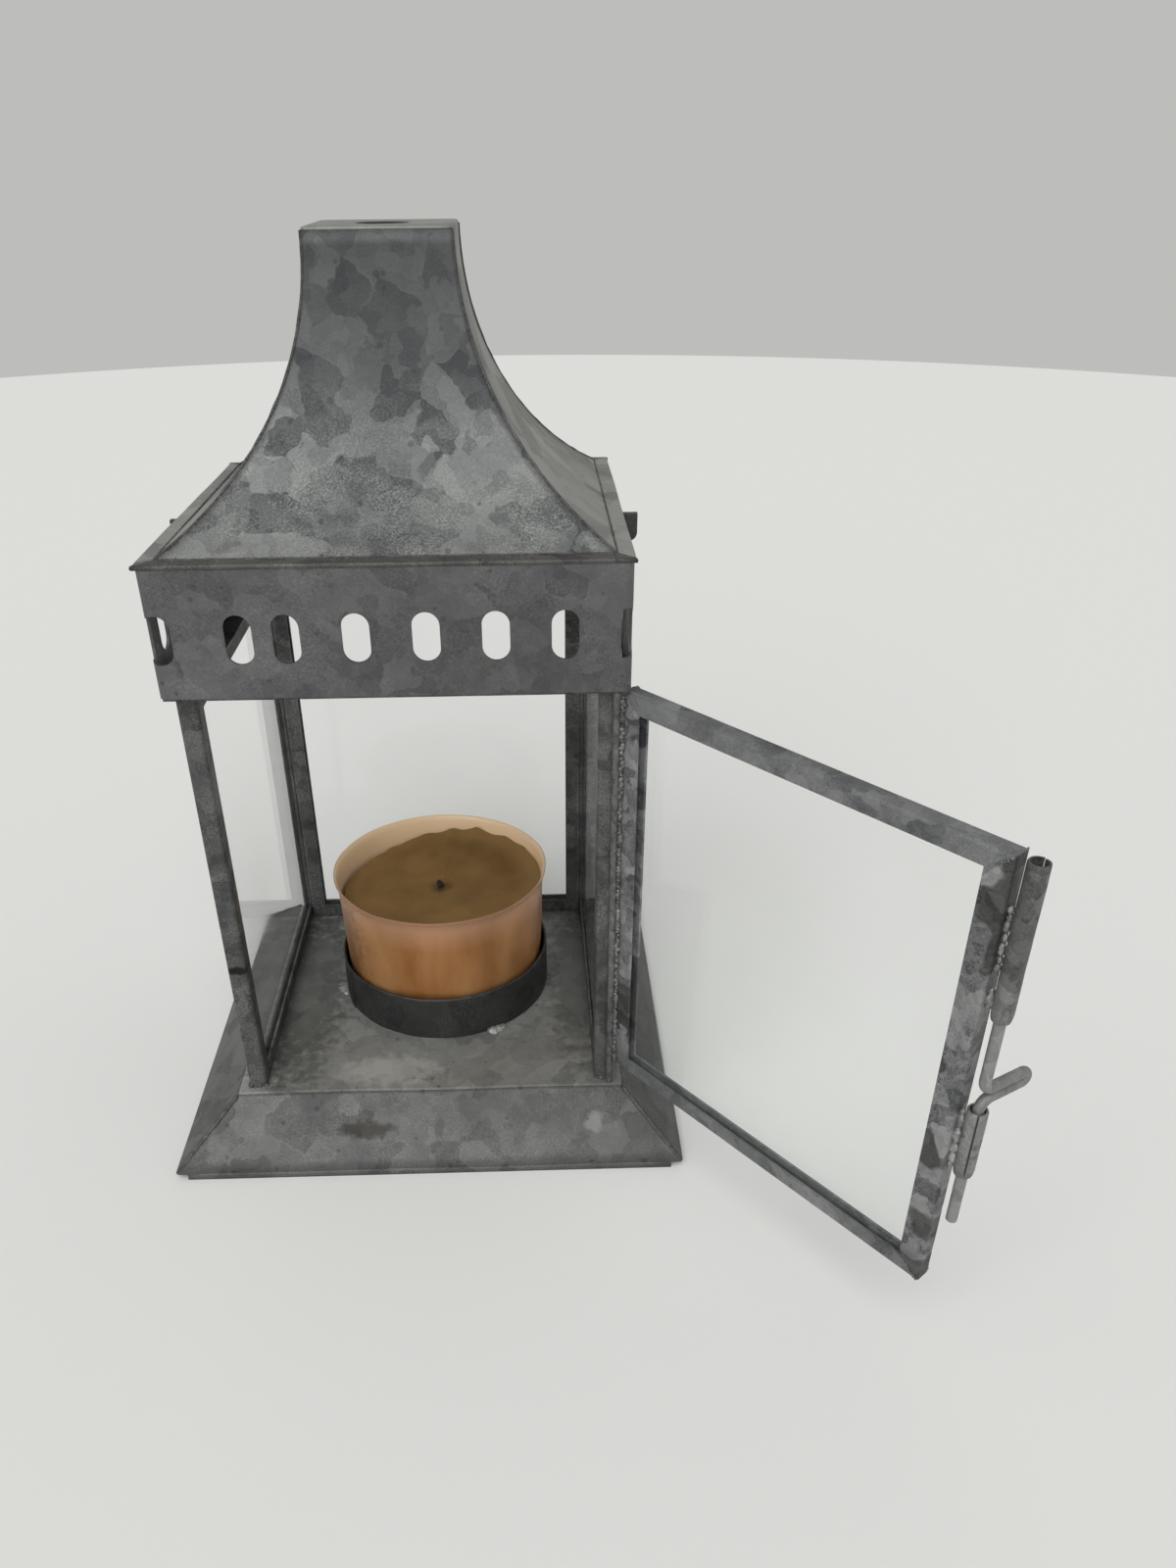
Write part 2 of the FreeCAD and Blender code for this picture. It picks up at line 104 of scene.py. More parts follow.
def fresh_material(name):
    """A new material with its tree and its shader."""
    material = bpy.data.materials.new(name)
    material.use_nodes = True
    return material, material.node_tree, material.node_tree.nodes["Principled BSDF"]


floor_mesh = bpy.data.meshes.new("floor")
corners = [(floor_radius * math.cos(math.tau * point / floor_points),
            floor_radius * math.sin(math.tau * point / floor_points), 0) for point in range(floor_points)]
floor_mesh.from_pydata(corners, [], [range(floor_points)])
floor = settle("floor", floor_mesh)
floor_material, floor_tree, floor_shader = fresh_material("pale_floor")
floor_shader.inputs["Base Color"].default_value = floor_colour
floor_shader.inputs["Roughness"].default_value = 0.9
floor_shader.inputs["Specular IOR Level"].default_value = 0.1
floor_mesh.materials.append(floor_material)

world = bpy.data.worlds.new("pale_sky")
scene.world = world
world.use_nodes = True
sky_tree = world.node_tree
sky_tree.nodes.clear()
rays = add(sky_tree, "ShaderNodeLightPath")
seen = add(sky_tree, "ShaderNodeMath", {0: rays.outputs["Is Camera Ray"], 1: rays.outputs["Is Glossy Ray"]},
           operation="MAXIMUM")
seen = add(sky_tree, "ShaderNodeMath", {0: seen.outputs[0], 1: rays.outputs["Is Transmission Ray"]},
           operation="MAXIMUM")
fill = add(sky_tree, "ShaderNodeBackground", {"Color": sky_colour, "Strength": sky_fill})
sky = add(sky_tree, "ShaderNodeBackground", {"Color": sky_colour})
choose = add(sky_tree, "ShaderNodeMixShader", {0: seen.outputs[0], 1: fill.outputs[0], 2: sky.outputs[0]})
add(sky_tree, "ShaderNodeOutputWorld", {"Surface": choose.outputs[0]})

sun_data = bpy.data.lights.new("soft_sun", "SUN")
sun_data.energy = sun_strength
sun_data.angle = math.radians(sun_softness)
sun = bpy.data.objects.new("soft_sun", sun_data)
scene.collection.objects.link(sun)
sun.rotation_euler = [math.radians(angle) for angle in sun_angles]

# Base pan: one sheet of galvanised steel, folded to a deck with four sloping skirts and short upright lips.
# The deck and the skirts are a little wavy from the folding.
MM = 0.001
sheet = 0.4 * MM
deck_half = (32.3 * MM, 29.0 * MM)
lip_height = 1.2 * MM
lip_corner_gap = 2.0 * MM
crease_width = 0.5 * MM
sheet_wave = 17.0 * MM
sheet_wave_height = 0.16 * MM
panel_columns = 28
skirt_rows = 6
base_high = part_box("base_pan")[1]
foot_half = base_high[:2]
deck_top = base_high[2]
spangle_size = 230.0


def lay_material(piece, material):
    """Give a piece one material in place of whatever it has."""
    piece.data.materials.clear()
    piece.data.materials.append(material)


def smooth(mesh, limit=30.0):
    """Shade a mesh smooth, and keep the edges sharp that turn more than the limit."""
    mesh.shade_smooth()
    mesh.set_sharp_from_angle(angle=math.radians(limit))


def plain_mesh(name, form):
    """Turn a bmesh into a mesh as it is."""
    mesh = bpy.data.meshes.new(name)
    form.to_mesh(mesh)
    form.free()
    return mesh


def name_sockets(tree, inputs, outputs):
    """Name a tree's inputs and outputs; an input is given by its value, or by its kind if it has none."""
    for socket_name, value in inputs.items():
        if isinstance(value, str):
            tree.interface.new_socket(socket_name, in_out="INPUT", socket_type="NodeSocket" + value)
            continue
        kind = "Int" if isinstance(value, int) else "Color" if isinstance(value, tuple) else "Float"
        socket = tree.interface.new_socket(socket_name, in_out="INPUT", socket_type="NodeSocket" + kind)
        socket.default_value = value
    for socket_name, kind in outputs.items():
        tree.interface.new_socket(socket_name, in_out="OUTPUT", socket_type="NodeSocket" + kind)


def object_place(tree):
    """The place on the object that is being coloured."""
    return add(tree, "ShaderNodeTexCoord").outputs["Object"]


def mix_colour(tree, share, first, second):
    """The mix of two colours, as an output."""
    return add(tree, "ShaderNodeMix", {0: share, 6: first, 7: second}, data_type="RGBA").outputs[2]


def ranged(tree, value, low, high, to_low=0.0, to_high=1.0):
    """A value carried from one range to another and held inside it, as an output."""
    return add(tree, "ShaderNodeMapRange", {0: value, 1: low, 2: high, 3: to_low, 4: to_high}).outputs[0]


def figure(tree, operation, first, second):
    """One arithmetic step on two values, as an output."""
    return add(tree, "ShaderNodeMath", {0: first, 1: second}, operation=operation).outputs[0]


def vector_figure(tree, operation, first, second):
    """One arithmetic step on two vectors, as an output."""
    return add(tree, "ShaderNodeVectorMath", {0: first, 1: second}, operation=operation).outputs[0]


def cloud_of(tree, place, scale, detail=2.0, roughness=0.5):
    """A cloudy noise at a place, as a value."""
    return add(tree, "ShaderNodeTexNoise", {"Vector": place, "Scale": scale, "Detail": detail,
                                            "Roughness": roughness}).outputs[0]


def stray_of(tree, place, scale, detail, reach):
    """A cloudy noise at a place, as a vector that strays to all sides by about half the reach."""
    cloud = add(tree, "ShaderNodeTexNoise", {"Vector": place, "Scale": scale, "Detail": detail})
    centred = vector_figure(tree, "SUBTRACT", cloud.outputs["Color"], (0.5, 0.5, 0.5))
    return add(tree, "ShaderNodeVectorMath", {0: centred, "Scale": reach}, operation="SCALE").outputs[0]


def surface(tree, shader, colour, roughness=None, relief=None, strength=0.25, depth=0.0001):
    """Link a colour to a shader, and where they are given a roughness and a bump from a relief."""
    tree.links.new(colour, shader.inputs["Base Color"])
    if roughness:
        tree.links.new(roughness, shader.inputs["Roughness"])
    if relief:
        raised = add(tree, "ShaderNodeBump", {"Height": relief, "Strength": strength, "Distance": depth})
        tree.links.new(raised.outputs[0], shader.inputs["Normal"])


def weathered_zinc_and_painted_shade():
    """A look of weathered zinc: crystals of a few greys, pale bloom, dark pits, soft grime and stains, with
    painted shade that darkens the sheet with height where the fade is set.
    """
    tree = bpy.data.node_groups.new("weathered_zinc_and_painted_shade", "ShaderNodeTree")
    name_sockets(tree, {"Dark": (0.07, 0.075, 0.08, 1), "Light": (0.2, 0.2, 0.2, 1),
                        "Bloom Colour": (0.36, 0.37, 0.35, 1), "Crystals per Metre": 190.0, "Bloom": 0.3,
                        "Pits": 0.5, "Grime": 0.4, "Fade": 0.0, "Fade From": 0.0, "Fade To": 1.0,
                        "Contrast": 1.0, "Stains": 0.0},
                 {"Color": "Color", "Roughness": "Float", "Height": "Float"})
    given = add(tree, "NodeGroupInput").outputs
    place = object_place(tree)

    def crystals(where, scale, channel):
        cells = add(tree, "ShaderNodeTexVoronoi", {"Vector": where, "Scale": scale})
        split = add(tree, "ShaderNodeSeparateColor", {0: cells.outputs["Color"]})
        return split.outputs[channel], cells.outputs["Distance"]

    # the crystals: large and small ones with bent borders, and a grain of fine flecks
    bent_place = vector_figure(tree, "ADD", place, stray_of(tree, place, 260.0, 2.0, 0.0045))
    crystal_scale = given["Crystals per Metre"]
    large = crystals(bent_place, crystal_scale, 0)[0]
    small = crystals(bent_place, figure(tree, "MULTIPLY", crystal_scale, 2.3), 1)[0]
    cloud = cloud_of(tree, place, 75.0, 4.0, 0.6)
    fleck = cloud_of(tree, place, 3400.0, 3.0, 0.8)
    tone = figure(tree, "MULTIPLY", large, 0.5)
    tone = figure(tree, "ADD", tone, figure(tree, "MULTIPLY", small, 0.22))
    tone = figure(tree, "ADD", tone, ranged(tree, cloud, 0.3, 0.7, -0.06, 0.2))
    tone = figure(tree, "ADD", tone, ranged(tree, fleck, 0.3, 0.7, -0.08, 0.12))
    tone = figure(tree, "MULTIPLY", figure(tree, "SUBTRACT", tone, 0.4), given["Contrast"])
    tone = figure(tree, "ADD", tone, 0.4)
    zinc = mix_colour(tree, tone, given["Dark"], given["Light"])

    # the bloom lies low, and painted shade darkens the sheet with height between the two levels of the fade
    height = add(tree, "ShaderNodeSeparateXYZ", {0: place}).outputs[2]
    height = figure(tree, "ADD", height, ranged(tree, cloud, 0.3, 0.7, -0.004, 0.004))
    high_up = ranged(tree, height, given["Fade From"], given["Fade To"])
    painted_height_shade = figure(tree, "MULTIPLY", high_up, given["Fade"])
    patches = ranged(tree, cloud_of(tree, bent_place, 150.0), 0.38, 0.62, 0.1, 1.0)
    bloom = figure(tree, "MULTIPLY", ranged(tree, fleck, 0.46, 0.62), patches)
    bloom = figure(tree, "MULTIPLY", bloom, given["Bloom"])
    bloom = figure(tree, "MULTIPLY", bloom, figure(tree, "SUBTRACT", 1.0, high_up))
    zinc = mix_colour(tree, bloom, zinc, given["Bloom Colour"])

    # the dark marks: round pits, grime and stains with a clear edge
    pit_size, pit_distance = crystals(place, 620.0, 2)
    pit = figure(tree, "LESS_THAN", pit_distance, ranged(tree, pit_size, 0.72, 1.0, 0.0, 0.3))
    pit = figure(tree, "MULTIPLY", pit, given["Pits"])
    grime = ranged(tree, cloud_of(tree, place, 38.0, 5.0, 0.65), 0.42, 0.72)
    grime = figure(tree, "MULTIPLY", grime, given["Grime"])
    stain = ranged(tree, cloud_of(tree, bent_place, 88.0, 1.0), 0.53, 0.56)
    stain = figure(tree, "MULTIPLY", stain, given["Stains"])
    shade = figure(tree, "MAXIMUM", figure(tree, "MAXIMUM", pit, grime), stain)
    zinc = mix_colour(tree, shade, zinc, (0.025, 0.024, 0.022, 1))
    # painted shade: the sheet turns darker with height
    zinc = mix_colour(tree, painted_height_shade, zinc, (0.018, 0.02, 0.024, 1))

    relief = figure(tree, "ADD", fleck, figure(tree, "MULTIPLY", large, 0.3))
    relief = figure(tree, "SUBTRACT", relief, pit)
    add(tree, "NodeGroupOutput", {"Color": zinc, "Roughness": ranged(tree, tone, 0.0, 1.0, 0.62, 0.42),
                                  "Height": relief})
    return tree


zinc_look = weathered_zinc_and_painted_shade()


def zinc_material(name, dark, light, metallic=0.35, bump=0.25, **amounts):
    """A weathered zinc material with its own greys; the other amounts are inputs of the look, the painted
    shade of the fade among them.
    """
    material, tree, shader = fresh_material(name)
    look = add(tree, "ShaderNodeGroup", node_tree=zinc_look)
    look.inputs["Dark"].default_value = dark + (1,)
    look.inputs["Light"].default_value = light + (1,)
    for socket_name, value in amounts.items():
        look.inputs[socket_name.replace("_", " ")].default_value = value
    shader.inputs["Metallic"].default_value = metallic
    surface(tree, shader, look.outputs["Color"], look.outputs["Roughness"], look.outputs["Height"], bump)
    return material


def mark(material, centre, reach, colour, amount):
    """Put a soft ragged patch of another colour on a material, round a place and over a reach given in mm; it
    serves for stains and a scuff, and for painted shade.
    """
    tree = material.node_tree
    base_colour = tree.nodes["Principled BSDF"].inputs["Base Color"]
    under = base_colour.links[0].from_socket
    place = object_place(tree)
    away = vector_figure(tree, "SUBTRACT", place, [value * MM for value in centre])
    away = vector_figure(tree, "DIVIDE", away, [value * MM for value in reach])
    away = add(tree, "ShaderNodeVectorMath", {0: away}, operation="LENGTH").outputs["Value"]
    ragged = ranged(tree, cloud_of(tree, place, 600.0, 3.0), 0.3, 0.7, -0.35, 0.35)
    share = ranged(tree, figure(tree, "ADD", away, ragged), 0.6, 1.15, amount, 0.0)
    tree.links.new(mix_colour(tree, share, under, colour), base_colour)


def side_point(side, along, half_x, half_y, z):
    """A point on a side of a rectangle (0 front, 1 right, 2 back, 3 left), where along runs from -1 to 1."""
    return ((along * half_x, -half_y, z), (half_x, along * half_y, z),
            (-along * half_x, half_y, z), (-half_x, -along * half_y, z))[side]


def quads(form, low, high):
    """Join two rows of vertices of a bmesh with faces."""
    for index in range(len(low) - 1):
        form.faces.new((low[index], low[index + 1], high[index + 1], high[index]))


def side_grid(form, side, rings, columns, overhang=0.0):
    """Add one side of a stack of rectangles to a bmesh, running past the corners by the overhang."""
    rows = []
    for half_x, half_y, z in rings:
        stretch = 1 + overhang / (half_x if side in (0, 2) else half_y)
        rows.append([form.verts.new(side_point(side, (2 * index / columns - 1) * stretch, half_x, half_y, z))
                     for index in range(columns + 1)])
    for upper, lower in zip(rows, rows[1:]):
        quads(form, lower, upper)


def wall_of(piece, thickness, edge=None):
    """Turn a single surface into sheet of that thickness, grown inwards, with its folds slightly rounded."""
    if edge:
        bevel = piece.modifiers.new("fold", "BEVEL")
        bevel.width = edge
        bevel.segments = 2
        bevel.limit_method = "ANGLE"
        bevel.angle_limit = math.radians(24)
    solid = piece.modifiers.new("sheet", "SOLIDIFY")
    solid.thickness = thickness
    solid.offset = -1


base_form = bmesh.new()
skirt_rings = []
for row in range(skirt_rows + 1):
    share = row / skirt_rows
    skirt_rings.append((deck_half[0] + share * (foot_half[0] - deck_half[0]),
                        deck_half[1] + share * (foot_half[1] - deck_half[1]),
                        deck_top + share * (lip_height - deck_top)))
for side in range(4):
    side_grid(base_form, side, skirt_rings, panel_columns)
deck_rows = []
for row in range(panel_columns + 1):
    y = (2 * row / panel_columns - 1) * deck_half[1]
    deck_rows.append([base_form.verts.new(((2 * index / panel_columns - 1) * deck_half[0], y, deck_top))
                      for index in range(panel_columns + 1)])
for near, far in zip(deck_rows, deck_rows[1:]):
    quads(base_form, near, far)
bmesh.ops.remove_doubles(base_form, verts=base_form.verts, dist=sheet / 20)
lip_rings = [(foot_half[0], foot_half[1], z) for z in (lip_height, lip_height / 2, 0)]
for side in range(4):
    side_grid(base_form, side, lip_rings, panel_columns, -lip_corner_gap)
base_mesh = plain_mesh("base_pan_sheet", base_form)
for vertex in base_mesh.vertices:
    if vertex.co.z > lip_height:
        vertex.co.z += noise.noise(vertex.co / sheet_wave) * sheet_wave_height
smooth(base_mesh)
base_piece = settle("base_pan_sheet", base_mesh, "lantern")
wall_of(base_piece, sheet, crease_width)
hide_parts("base_pan")
base_zinc = zinc_material("base_zinc", (0.045, 0.046, 0.047), (0.165, 0.168, 0.162), Bloom=0.22, Pits=0.5,
                          Crystals_per_Metre=spangle_size, Grime=0.4, Contrast=0.72)
# The deck's upward faces get a much lighter copy of the base's zinc, with more bloom: painted light on the
# floor of the lantern.
deck_zinc_painted_light = zinc_material("deck_zinc_painted_light", (0.15, 0.152, 0.145), (0.50, 0.505, 0.475), Bloom=0.5, Pits=0.5,
                          Crystals_per_Metre=spangle_size, Grime=0.5, Contrast=0.72)
mark(base_zinc, (-10.5, -33.8, 5.5), (4.6, 1.5, 1.5), (0.02, 0.016, 0.01, 1), 0.75)
mark(base_zinc, (27.5, -33.4, 5.9), (1.5, 1.8, 1.8), (0.3, 0.31, 0.31, 1), 0.4)
# The deck is darker along its left and right sides and paler towards the front.
mark(deck_zinc_painted_light, (-24.0, 0.0, 10.0), (8.0, 30.0, 3.0), (0.03, 0.03, 0.028, 1), 0.6)
mark(deck_zinc_painted_light, (26.0, 2.0, 10.0), (6.0, 26.0, 3.0), (0.03, 0.03, 0.028, 1), 0.5)
mark(deck_zinc_painted_light, (-7.0, -24.0, 10.0), (9.0, 4.0, 3.0), (0.6, 0.62, 0.58, 1), 0.35)
lay_material(base_piece, base_zinc)
base_piece.data.materials.append(deck_zinc_painted_light)
for face in base_piece.data.polygons:
    face.material_index = int(face.normal.z > 0.9 and face.center.z > deck_top - 0.3 * MM)

# Solder of the base: a thin dark run along each ridge between two skirts.
# It was drawn along with the iron, so its thickness wanders.
run_radius = 0.42 * MM
run_wave = 1.6 * MM
run_steps = 40
run_sides = 8
run_inset = 0.4 * MM
run_sink = 0.25 * MM
dark_solder_and_crease_shade = zinc_material("dark_solder_and_crease_shade", (0.03, 0.032, 0.035), (0.12, 0.12, 0.115), metallic=0.4, bump=0.6,
                            Crystals_per_Metre=700.0, Bloom=0.3, Pits=0.4, Grime=0.4)


def skin(form, rings, ends=False):
    """Join a row of rings of vertices with faces, where one vertex is a pole, and close its ends if asked."""
    for low, high in zip(rings, rings[1:]):
        count = max(len(low), len(high))
        for turn in range(count):
            after = (turn + 1) % count
            corner = (low[turn % len(low)], low[after % len(low)],
                      high[after % len(high)], high[turn % len(high)])
            form.faces.new(list(dict.fromkeys(corner)))
    if ends:
        form.faces.new(reversed(rings[0]))
        form.faces.new(rings[-1])


def solder_run(form, points, radius, seed):
    """Add a thin tube of solder along a row of points to a bmesh, with a thickness that wanders."""
    rings = []
    travelled = 0.0
    for step, here in enumerate(points):
        before = points[max(0, step - 1)]
        along = (points[min(len(points) - 1, step + 1)] - before).normalized()
        side = along.cross(Vector((0, 0, 1))).normalized()
        over = side.cross(along)
        travelled += (here - before).length
        wander = 1 + 0.45 * noise.noise((travelled / run_wave, seed, 0))
        reach = radius * wander * (0.15 if step in (0, len(points) - 1) else 1)
        ring = []
        for turn in range(run_sides):
            angle = math.tau * turn / run_sides
            ring.append(form.verts.new(here + (side * math.cos(angle) + over * math.sin(angle)) * reach))
        rings.append(ring)
    skin(form, rings, ends=True)


def solid_mesh(name, form, limit):
    """Turn a bmesh into a mesh with its faces outwards and smooth shading."""
    bmesh.ops.recalc_face_normals(form, faces=form.faces)
    mesh = plain_mesh(name, form)
    smooth(mesh, limit)
    return mesh


corner_signs = ((-1, -1), (1, -1), (1, 1), (-1, 1))
ridge_form = bmesh.new()
for number, (x_side, y_side) in enumerate(corner_signs):
    top = Vector((x_side * deck_half[0], y_side * deck_half[1], deck_top - run_sink))
    foot = Vector((x_side * (foot_half[0] - run_inset), y_side * (foot_half[1] - run_inset), lip_height))
    ridge = [top.lerp(foot, step / run_steps) for step in range(run_steps + 1)]
    solder_run(ridge_form, ridge, run_radius, number)
ridge_solder = settle("base_ridge_solder", solid_mesh("base_ridge_solder", ridge_form, 60.0), "lantern")
lay_material(ridge_solder, dark_solder_and_crease_shade)

# Candle ring: a strip of sheet rolled to a circle and lapped, with its upper edge filed round.
# Solder tacks it to the deck in three places.
ring_low, ring_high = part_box("candle_ring")
candle_centre = Vector(((ring_low[0] + ring_high[0]) / 2, (ring_low[1] + ring_high[1]) / 2, 0))
ring_radius = (ring_high[0] - ring_low[0]) / 2
ring_wall = 0.5 * MM
ring_top = ring_high[2]
ring_round = 0.18 * MM
ring_dent = 0.18 * MM
lap_angle = math.radians(205)
lap_step = math.radians(1.1)
lap_steps = 6
lap_rise = 0.22 * MM
tack_angles = (-62.0, 75.0, 190.0)
tack_reach = ring_radius + 0.35 * MM
tack_spread = 0.045
turned_segments = 128


def round_point(centre, angle, reach, height):
    """The point at an angle, a reach and a height round a centre."""
    return centre + Vector((reach * math.cos(angle), reach * math.sin(angle), height))


def turned_form(outline, segments, wobble=0.0, wave=3.0, closed=True):
    """A body of revolution round the candle's axis from (radius, height) points, slightly out of round."""
    form = bmesh.new()
    rings = []
    for radius, height in outline:
        if radius < sheet / 10:
            rings.append([form.verts.new(candle_centre + Vector((0, 0, height)))])
            continue
        ring = []
        for turn in range(segments):
            angle = math.tau * turn / segments
            dent = noise.noise((math.cos(angle) * wave, math.sin(angle) * wave, height / (9 * MM))) * wobble
            ring.append(form.verts.new(round_point(candle_centre, angle, radius + dent, height)))
        rings.append(ring)
    skin(form, rings + rings[:1] if closed else rings)
    return form


def solder_drop(form, centre, radius, flatness, seed, subdivisions=3):
    """Add a lumpy drop of solder to a bmesh."""
    made = bmesh.ops.create_icosphere(form, subdivisions=subdivisions, radius=radius)
    for vertex in made["verts"]:
        lump = 1 + 0.35 * noise.noise(vertex.co / radius * 1.3 + Vector((seed, 0, 0)))
        vertex.co = Vector(centre) + vertex.co * lump
        vertex.co.z = centre[2] + (vertex.co.z - centre[2]) * flatness


ring_inside = ring_radius - ring_wall
ring_outline = [(ring_radius, deck_top), (ring_radius, deck_top + 2 * MM),
                (ring_radius, ring_top - ring_round), (ring_radius - ring_round, ring_top),
                (ring_inside + ring_round, ring_top), (ring_inside, ring_top - ring_round),
                (ring_inside, deck_top)]
ring_form = turned_form(ring_outline, turned_segments, ring_dent)
lap_rows = []
for step in range(lap_steps + 1):
    angle = lap_angle + step * lap_step
    out = ring_radius + lap_rise * min(1, step, lap_steps - step)
    lap_outline = ((out, deck_top), (out, ring_top - ring_round), (ring_radius - ring_wall / 2, ring_top))
    lap_rows.append([ring_form.verts.new(round_point(candle_centre, angle, reach, height))
                     for reach, height in lap_outline])
for near, far in zip(lap_rows, lap_rows[1:]):
    for low, high in ((0, 1), (1, 2)):
        ring_form.faces.new((near[low], far[low], far[high], near[high]))
ring_piece = settle("candle_ring_strip", solid_mesh("candle_ring_strip", ring_form, 40.0), "lantern")
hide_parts("candle_ring")
ring_zinc = zinc_material("ring_zinc", (0.013, 0.0135, 0.014), (0.043, 0.043, 0.042), metallic=0.4,
                          Bloom=0.12, Pits=0.3, Grime=0.3)
lay_material(ring_piece, ring_zinc)

tack_form = bmesh.new()
for number, angle in enumerate(tack_angles):
    for step in range(3):
        spot = round_point(candle_centre, math.radians(angle) + tack_spread * step, tack_reach, deck_top)
        solder_drop(tack_form, spot, (1.15 - 0.2 * step) * MM, 0.6, 5.0 * number + step)
pale_solder = zinc_material("pale_solder", (0.16, 0.16, 0.158), (0.46, 0.46, 0.45), metallic=0.5, bump=0.5,
                            Crystals_per_Metre=900.0, Bloom=0.2, Pits=0.3, Grime=0.15)
tacks = settle("ring_tacks", solid_mesh("ring_tacks", tack_form, 60.0), "lantern")
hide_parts("ring_solder")
lay_material(tacks, pale_solder)

# Candle cup: thin copper coloured metal, drawn deep, with a rounded foot and a rim that flares and curls.
# Handling has left it slightly dented. Its inside gets a much brighter, less metallic copy of the copper:
# painted light.
cup_dent = 0.22 * MM
cup_low, cup_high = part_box("candle_cup")
cup_rim_radius = (cup_high[0] - cup_low[0]) / 2
cup_top = cup_high[2]
cup_outside = ((0, 0.05), (15.4, 0.05), (16.6, 0.12), (17.3, 0.5), (17.68, 1.1), (17.78, 2.2), (18.0, 8.0),
               (18.22, 14.0), (18.45, 19.5), (18.6, 22.2), (18.72, 23.3), (18.95, 23.95), (19.12, 24.3))
cup_inside = ((18.75, 24.28), (18.6, 23.9), (18.42, 23.3), (18.3, 22.2), (18.15, 19.5), (17.92, 14.0),
              (17.7, 8.0), (17.45, 2.2), (17.3, 1.2), (16.9, 0.7), (16.0, 0.42), (0, 0.38))
cup_outline = [(radius * MM, deck_top + height * MM) for radius, height in cup_outside]
cup_outline.append((cup_rim_radius - 0.05 * MM, cup_top - 0.05 * MM))
cup_outline.append((cup_rim_radius - 0.2 * MM, cup_top))
cup_outline += [(radius * MM, deck_top + height * MM) for radius, height in cup_inside]
cup_form = turned_form(cup_outline, turned_segments, cup_dent, 2.2, closed=False)
cup_piece = settle("candle_cup_shell", solid_mesh("candle_cup_shell", cup_form, 50.0), "candle")
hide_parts("candle_cup")

copper, tree, shader = fresh_material("cup_copper")
place = object_place(tree)
tall_place = add(tree, "ShaderNodeMapping", {"Vector": place, "Scale": (1.0, 1.0, 0.35)}).outputs[0]
reflection_streaks = cloud_of(tree, tall_place, 130.0, 3.0)
grain = cloud_of(tree, place, 2200.0, 2.0)
height = add(tree, "ShaderNodeSeparateXYZ", {0: place}).outputs[2]
# painted reflections: soft upright streaks of lighter copper; the same streaks also vary the roughness and
# the bump
colour = mix_colour(tree, ranged(tree, reflection_streaks, 0.35, 0.68), (0.29, 0.115, 0.026, 1), (0.48, 0.24, 0.095, 1))
# painted light: the copper turns lighter towards the rim, over the upper wall above the wax
colour = mix_colour(tree, ranged(tree, height, 0.028, 0.0345), colour, (0.55, 0.31, 0.19, 1))
colour = mix_colour(tree, ranged(tree, grain, 0.55, 0.75, 0.0, 0.25), colour, (0.30, 0.12, 0.05, 1))
surface(tree, shader, colour, ranged(tree, reflection_streaks, 0.3, 0.7, 0.34, 0.5),
        figure(tree, "ADD", reflection_streaks, grain), 0.12)
shader.inputs["Metallic"].default_value = 0.45
lay_material(cup_piece, copper)

# painted light: the inside wall gets a much brighter copy of the copper
inner_copper_painted_light = copper.copy()
inner_copper_painted_light.name = "cup_inside"
tree = inner_copper_painted_light.node_tree
shader = tree.nodes["Principled BSDF"]
shader.inputs["Metallic"].default_value = 0.0
shader.inputs["Specular IOR Level"].default_value = 1.0
colour = mix_colour(tree, 0.97, shader.inputs["Base Color"].links[0].from_socket, (1.0, 0.74, 0.47, 1))
tree.links.new(colour, shader.inputs["Base Color"])
# painted shade: the left side of the cup is darkened
mark(copper, (-17.0, -8.0, 24.0), (5.0, 14.0, 12.0), (0.16, 0.07, 0.025, 1), 0.6)
cup_piece.data.materials.append(inner_copper_painted_light)
for face in cup_piece.data.polygons:
    outward = face.center - candle_centre
    if face.normal.x * outward.x + face.normal.y * outward.y < 0:
        face.material_index = 1

# Wax and wick: the wax has burned down and set again with a shallow dish round a short charred wick.
# It has shrunk away from the cup at the back left, where its edge is broken and the bright wall shows.
wax_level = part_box("candle_wax")[1][2]
wax_foot = deck_top + 0.5 * MM
wax_radius = 18.18 * MM
wax_rings = 40
shrink_angle = math.radians(140)
shrink_reach = 1.5 * MM
dish_depth = 0.85 * MM
dish_reach = 9.5 * MM
well_depth = 0.55 * MM
well_reach = 1.7 * MM
high_wax_angle = math.radians(-25)
back_wax_angle = math.radians(75)
wax_peaks = ((86.0, 0.9, 9.0), (70.0, 1.2, 10.0), (50.0, 0.5, 9.0), (103.0, 0.5, 12.0), (34.0, 0.35, 8.0))


def wax_edge(angle):
    """How far from the axis the wax reaches at its surface, in the direction of an angle."""
    away = max(0.0, math.cos(angle - shrink_angle)) ** 2
    broken = noise.noise((math.cos(angle) * 7, math.sin(angle) * 7, 2.0))
    crumbs = noise.noise((math.cos(angle) * 30, math.sin(angle) * 30, 5.0))
    return wax_radius - away * (shrink_reach + (0.5 * broken + 0.2 * crumbs) * MM)


def wax_lift(angle):
    """How far the wax stands above its level at the wall of the cup, in the direction of an angle."""
    back = max(0.0, math.cos(angle - back_wax_angle)) ** 2
    rise = 0.75 * math.cos(angle - high_wax_angle) + 0.8 * back
    for peak_angle, height, width in wax_peaks:
        rise += height * max(0.0, 1 - abs(math.degrees(angle) - peak_angle) / width) ** 1.3
    return rise * MM


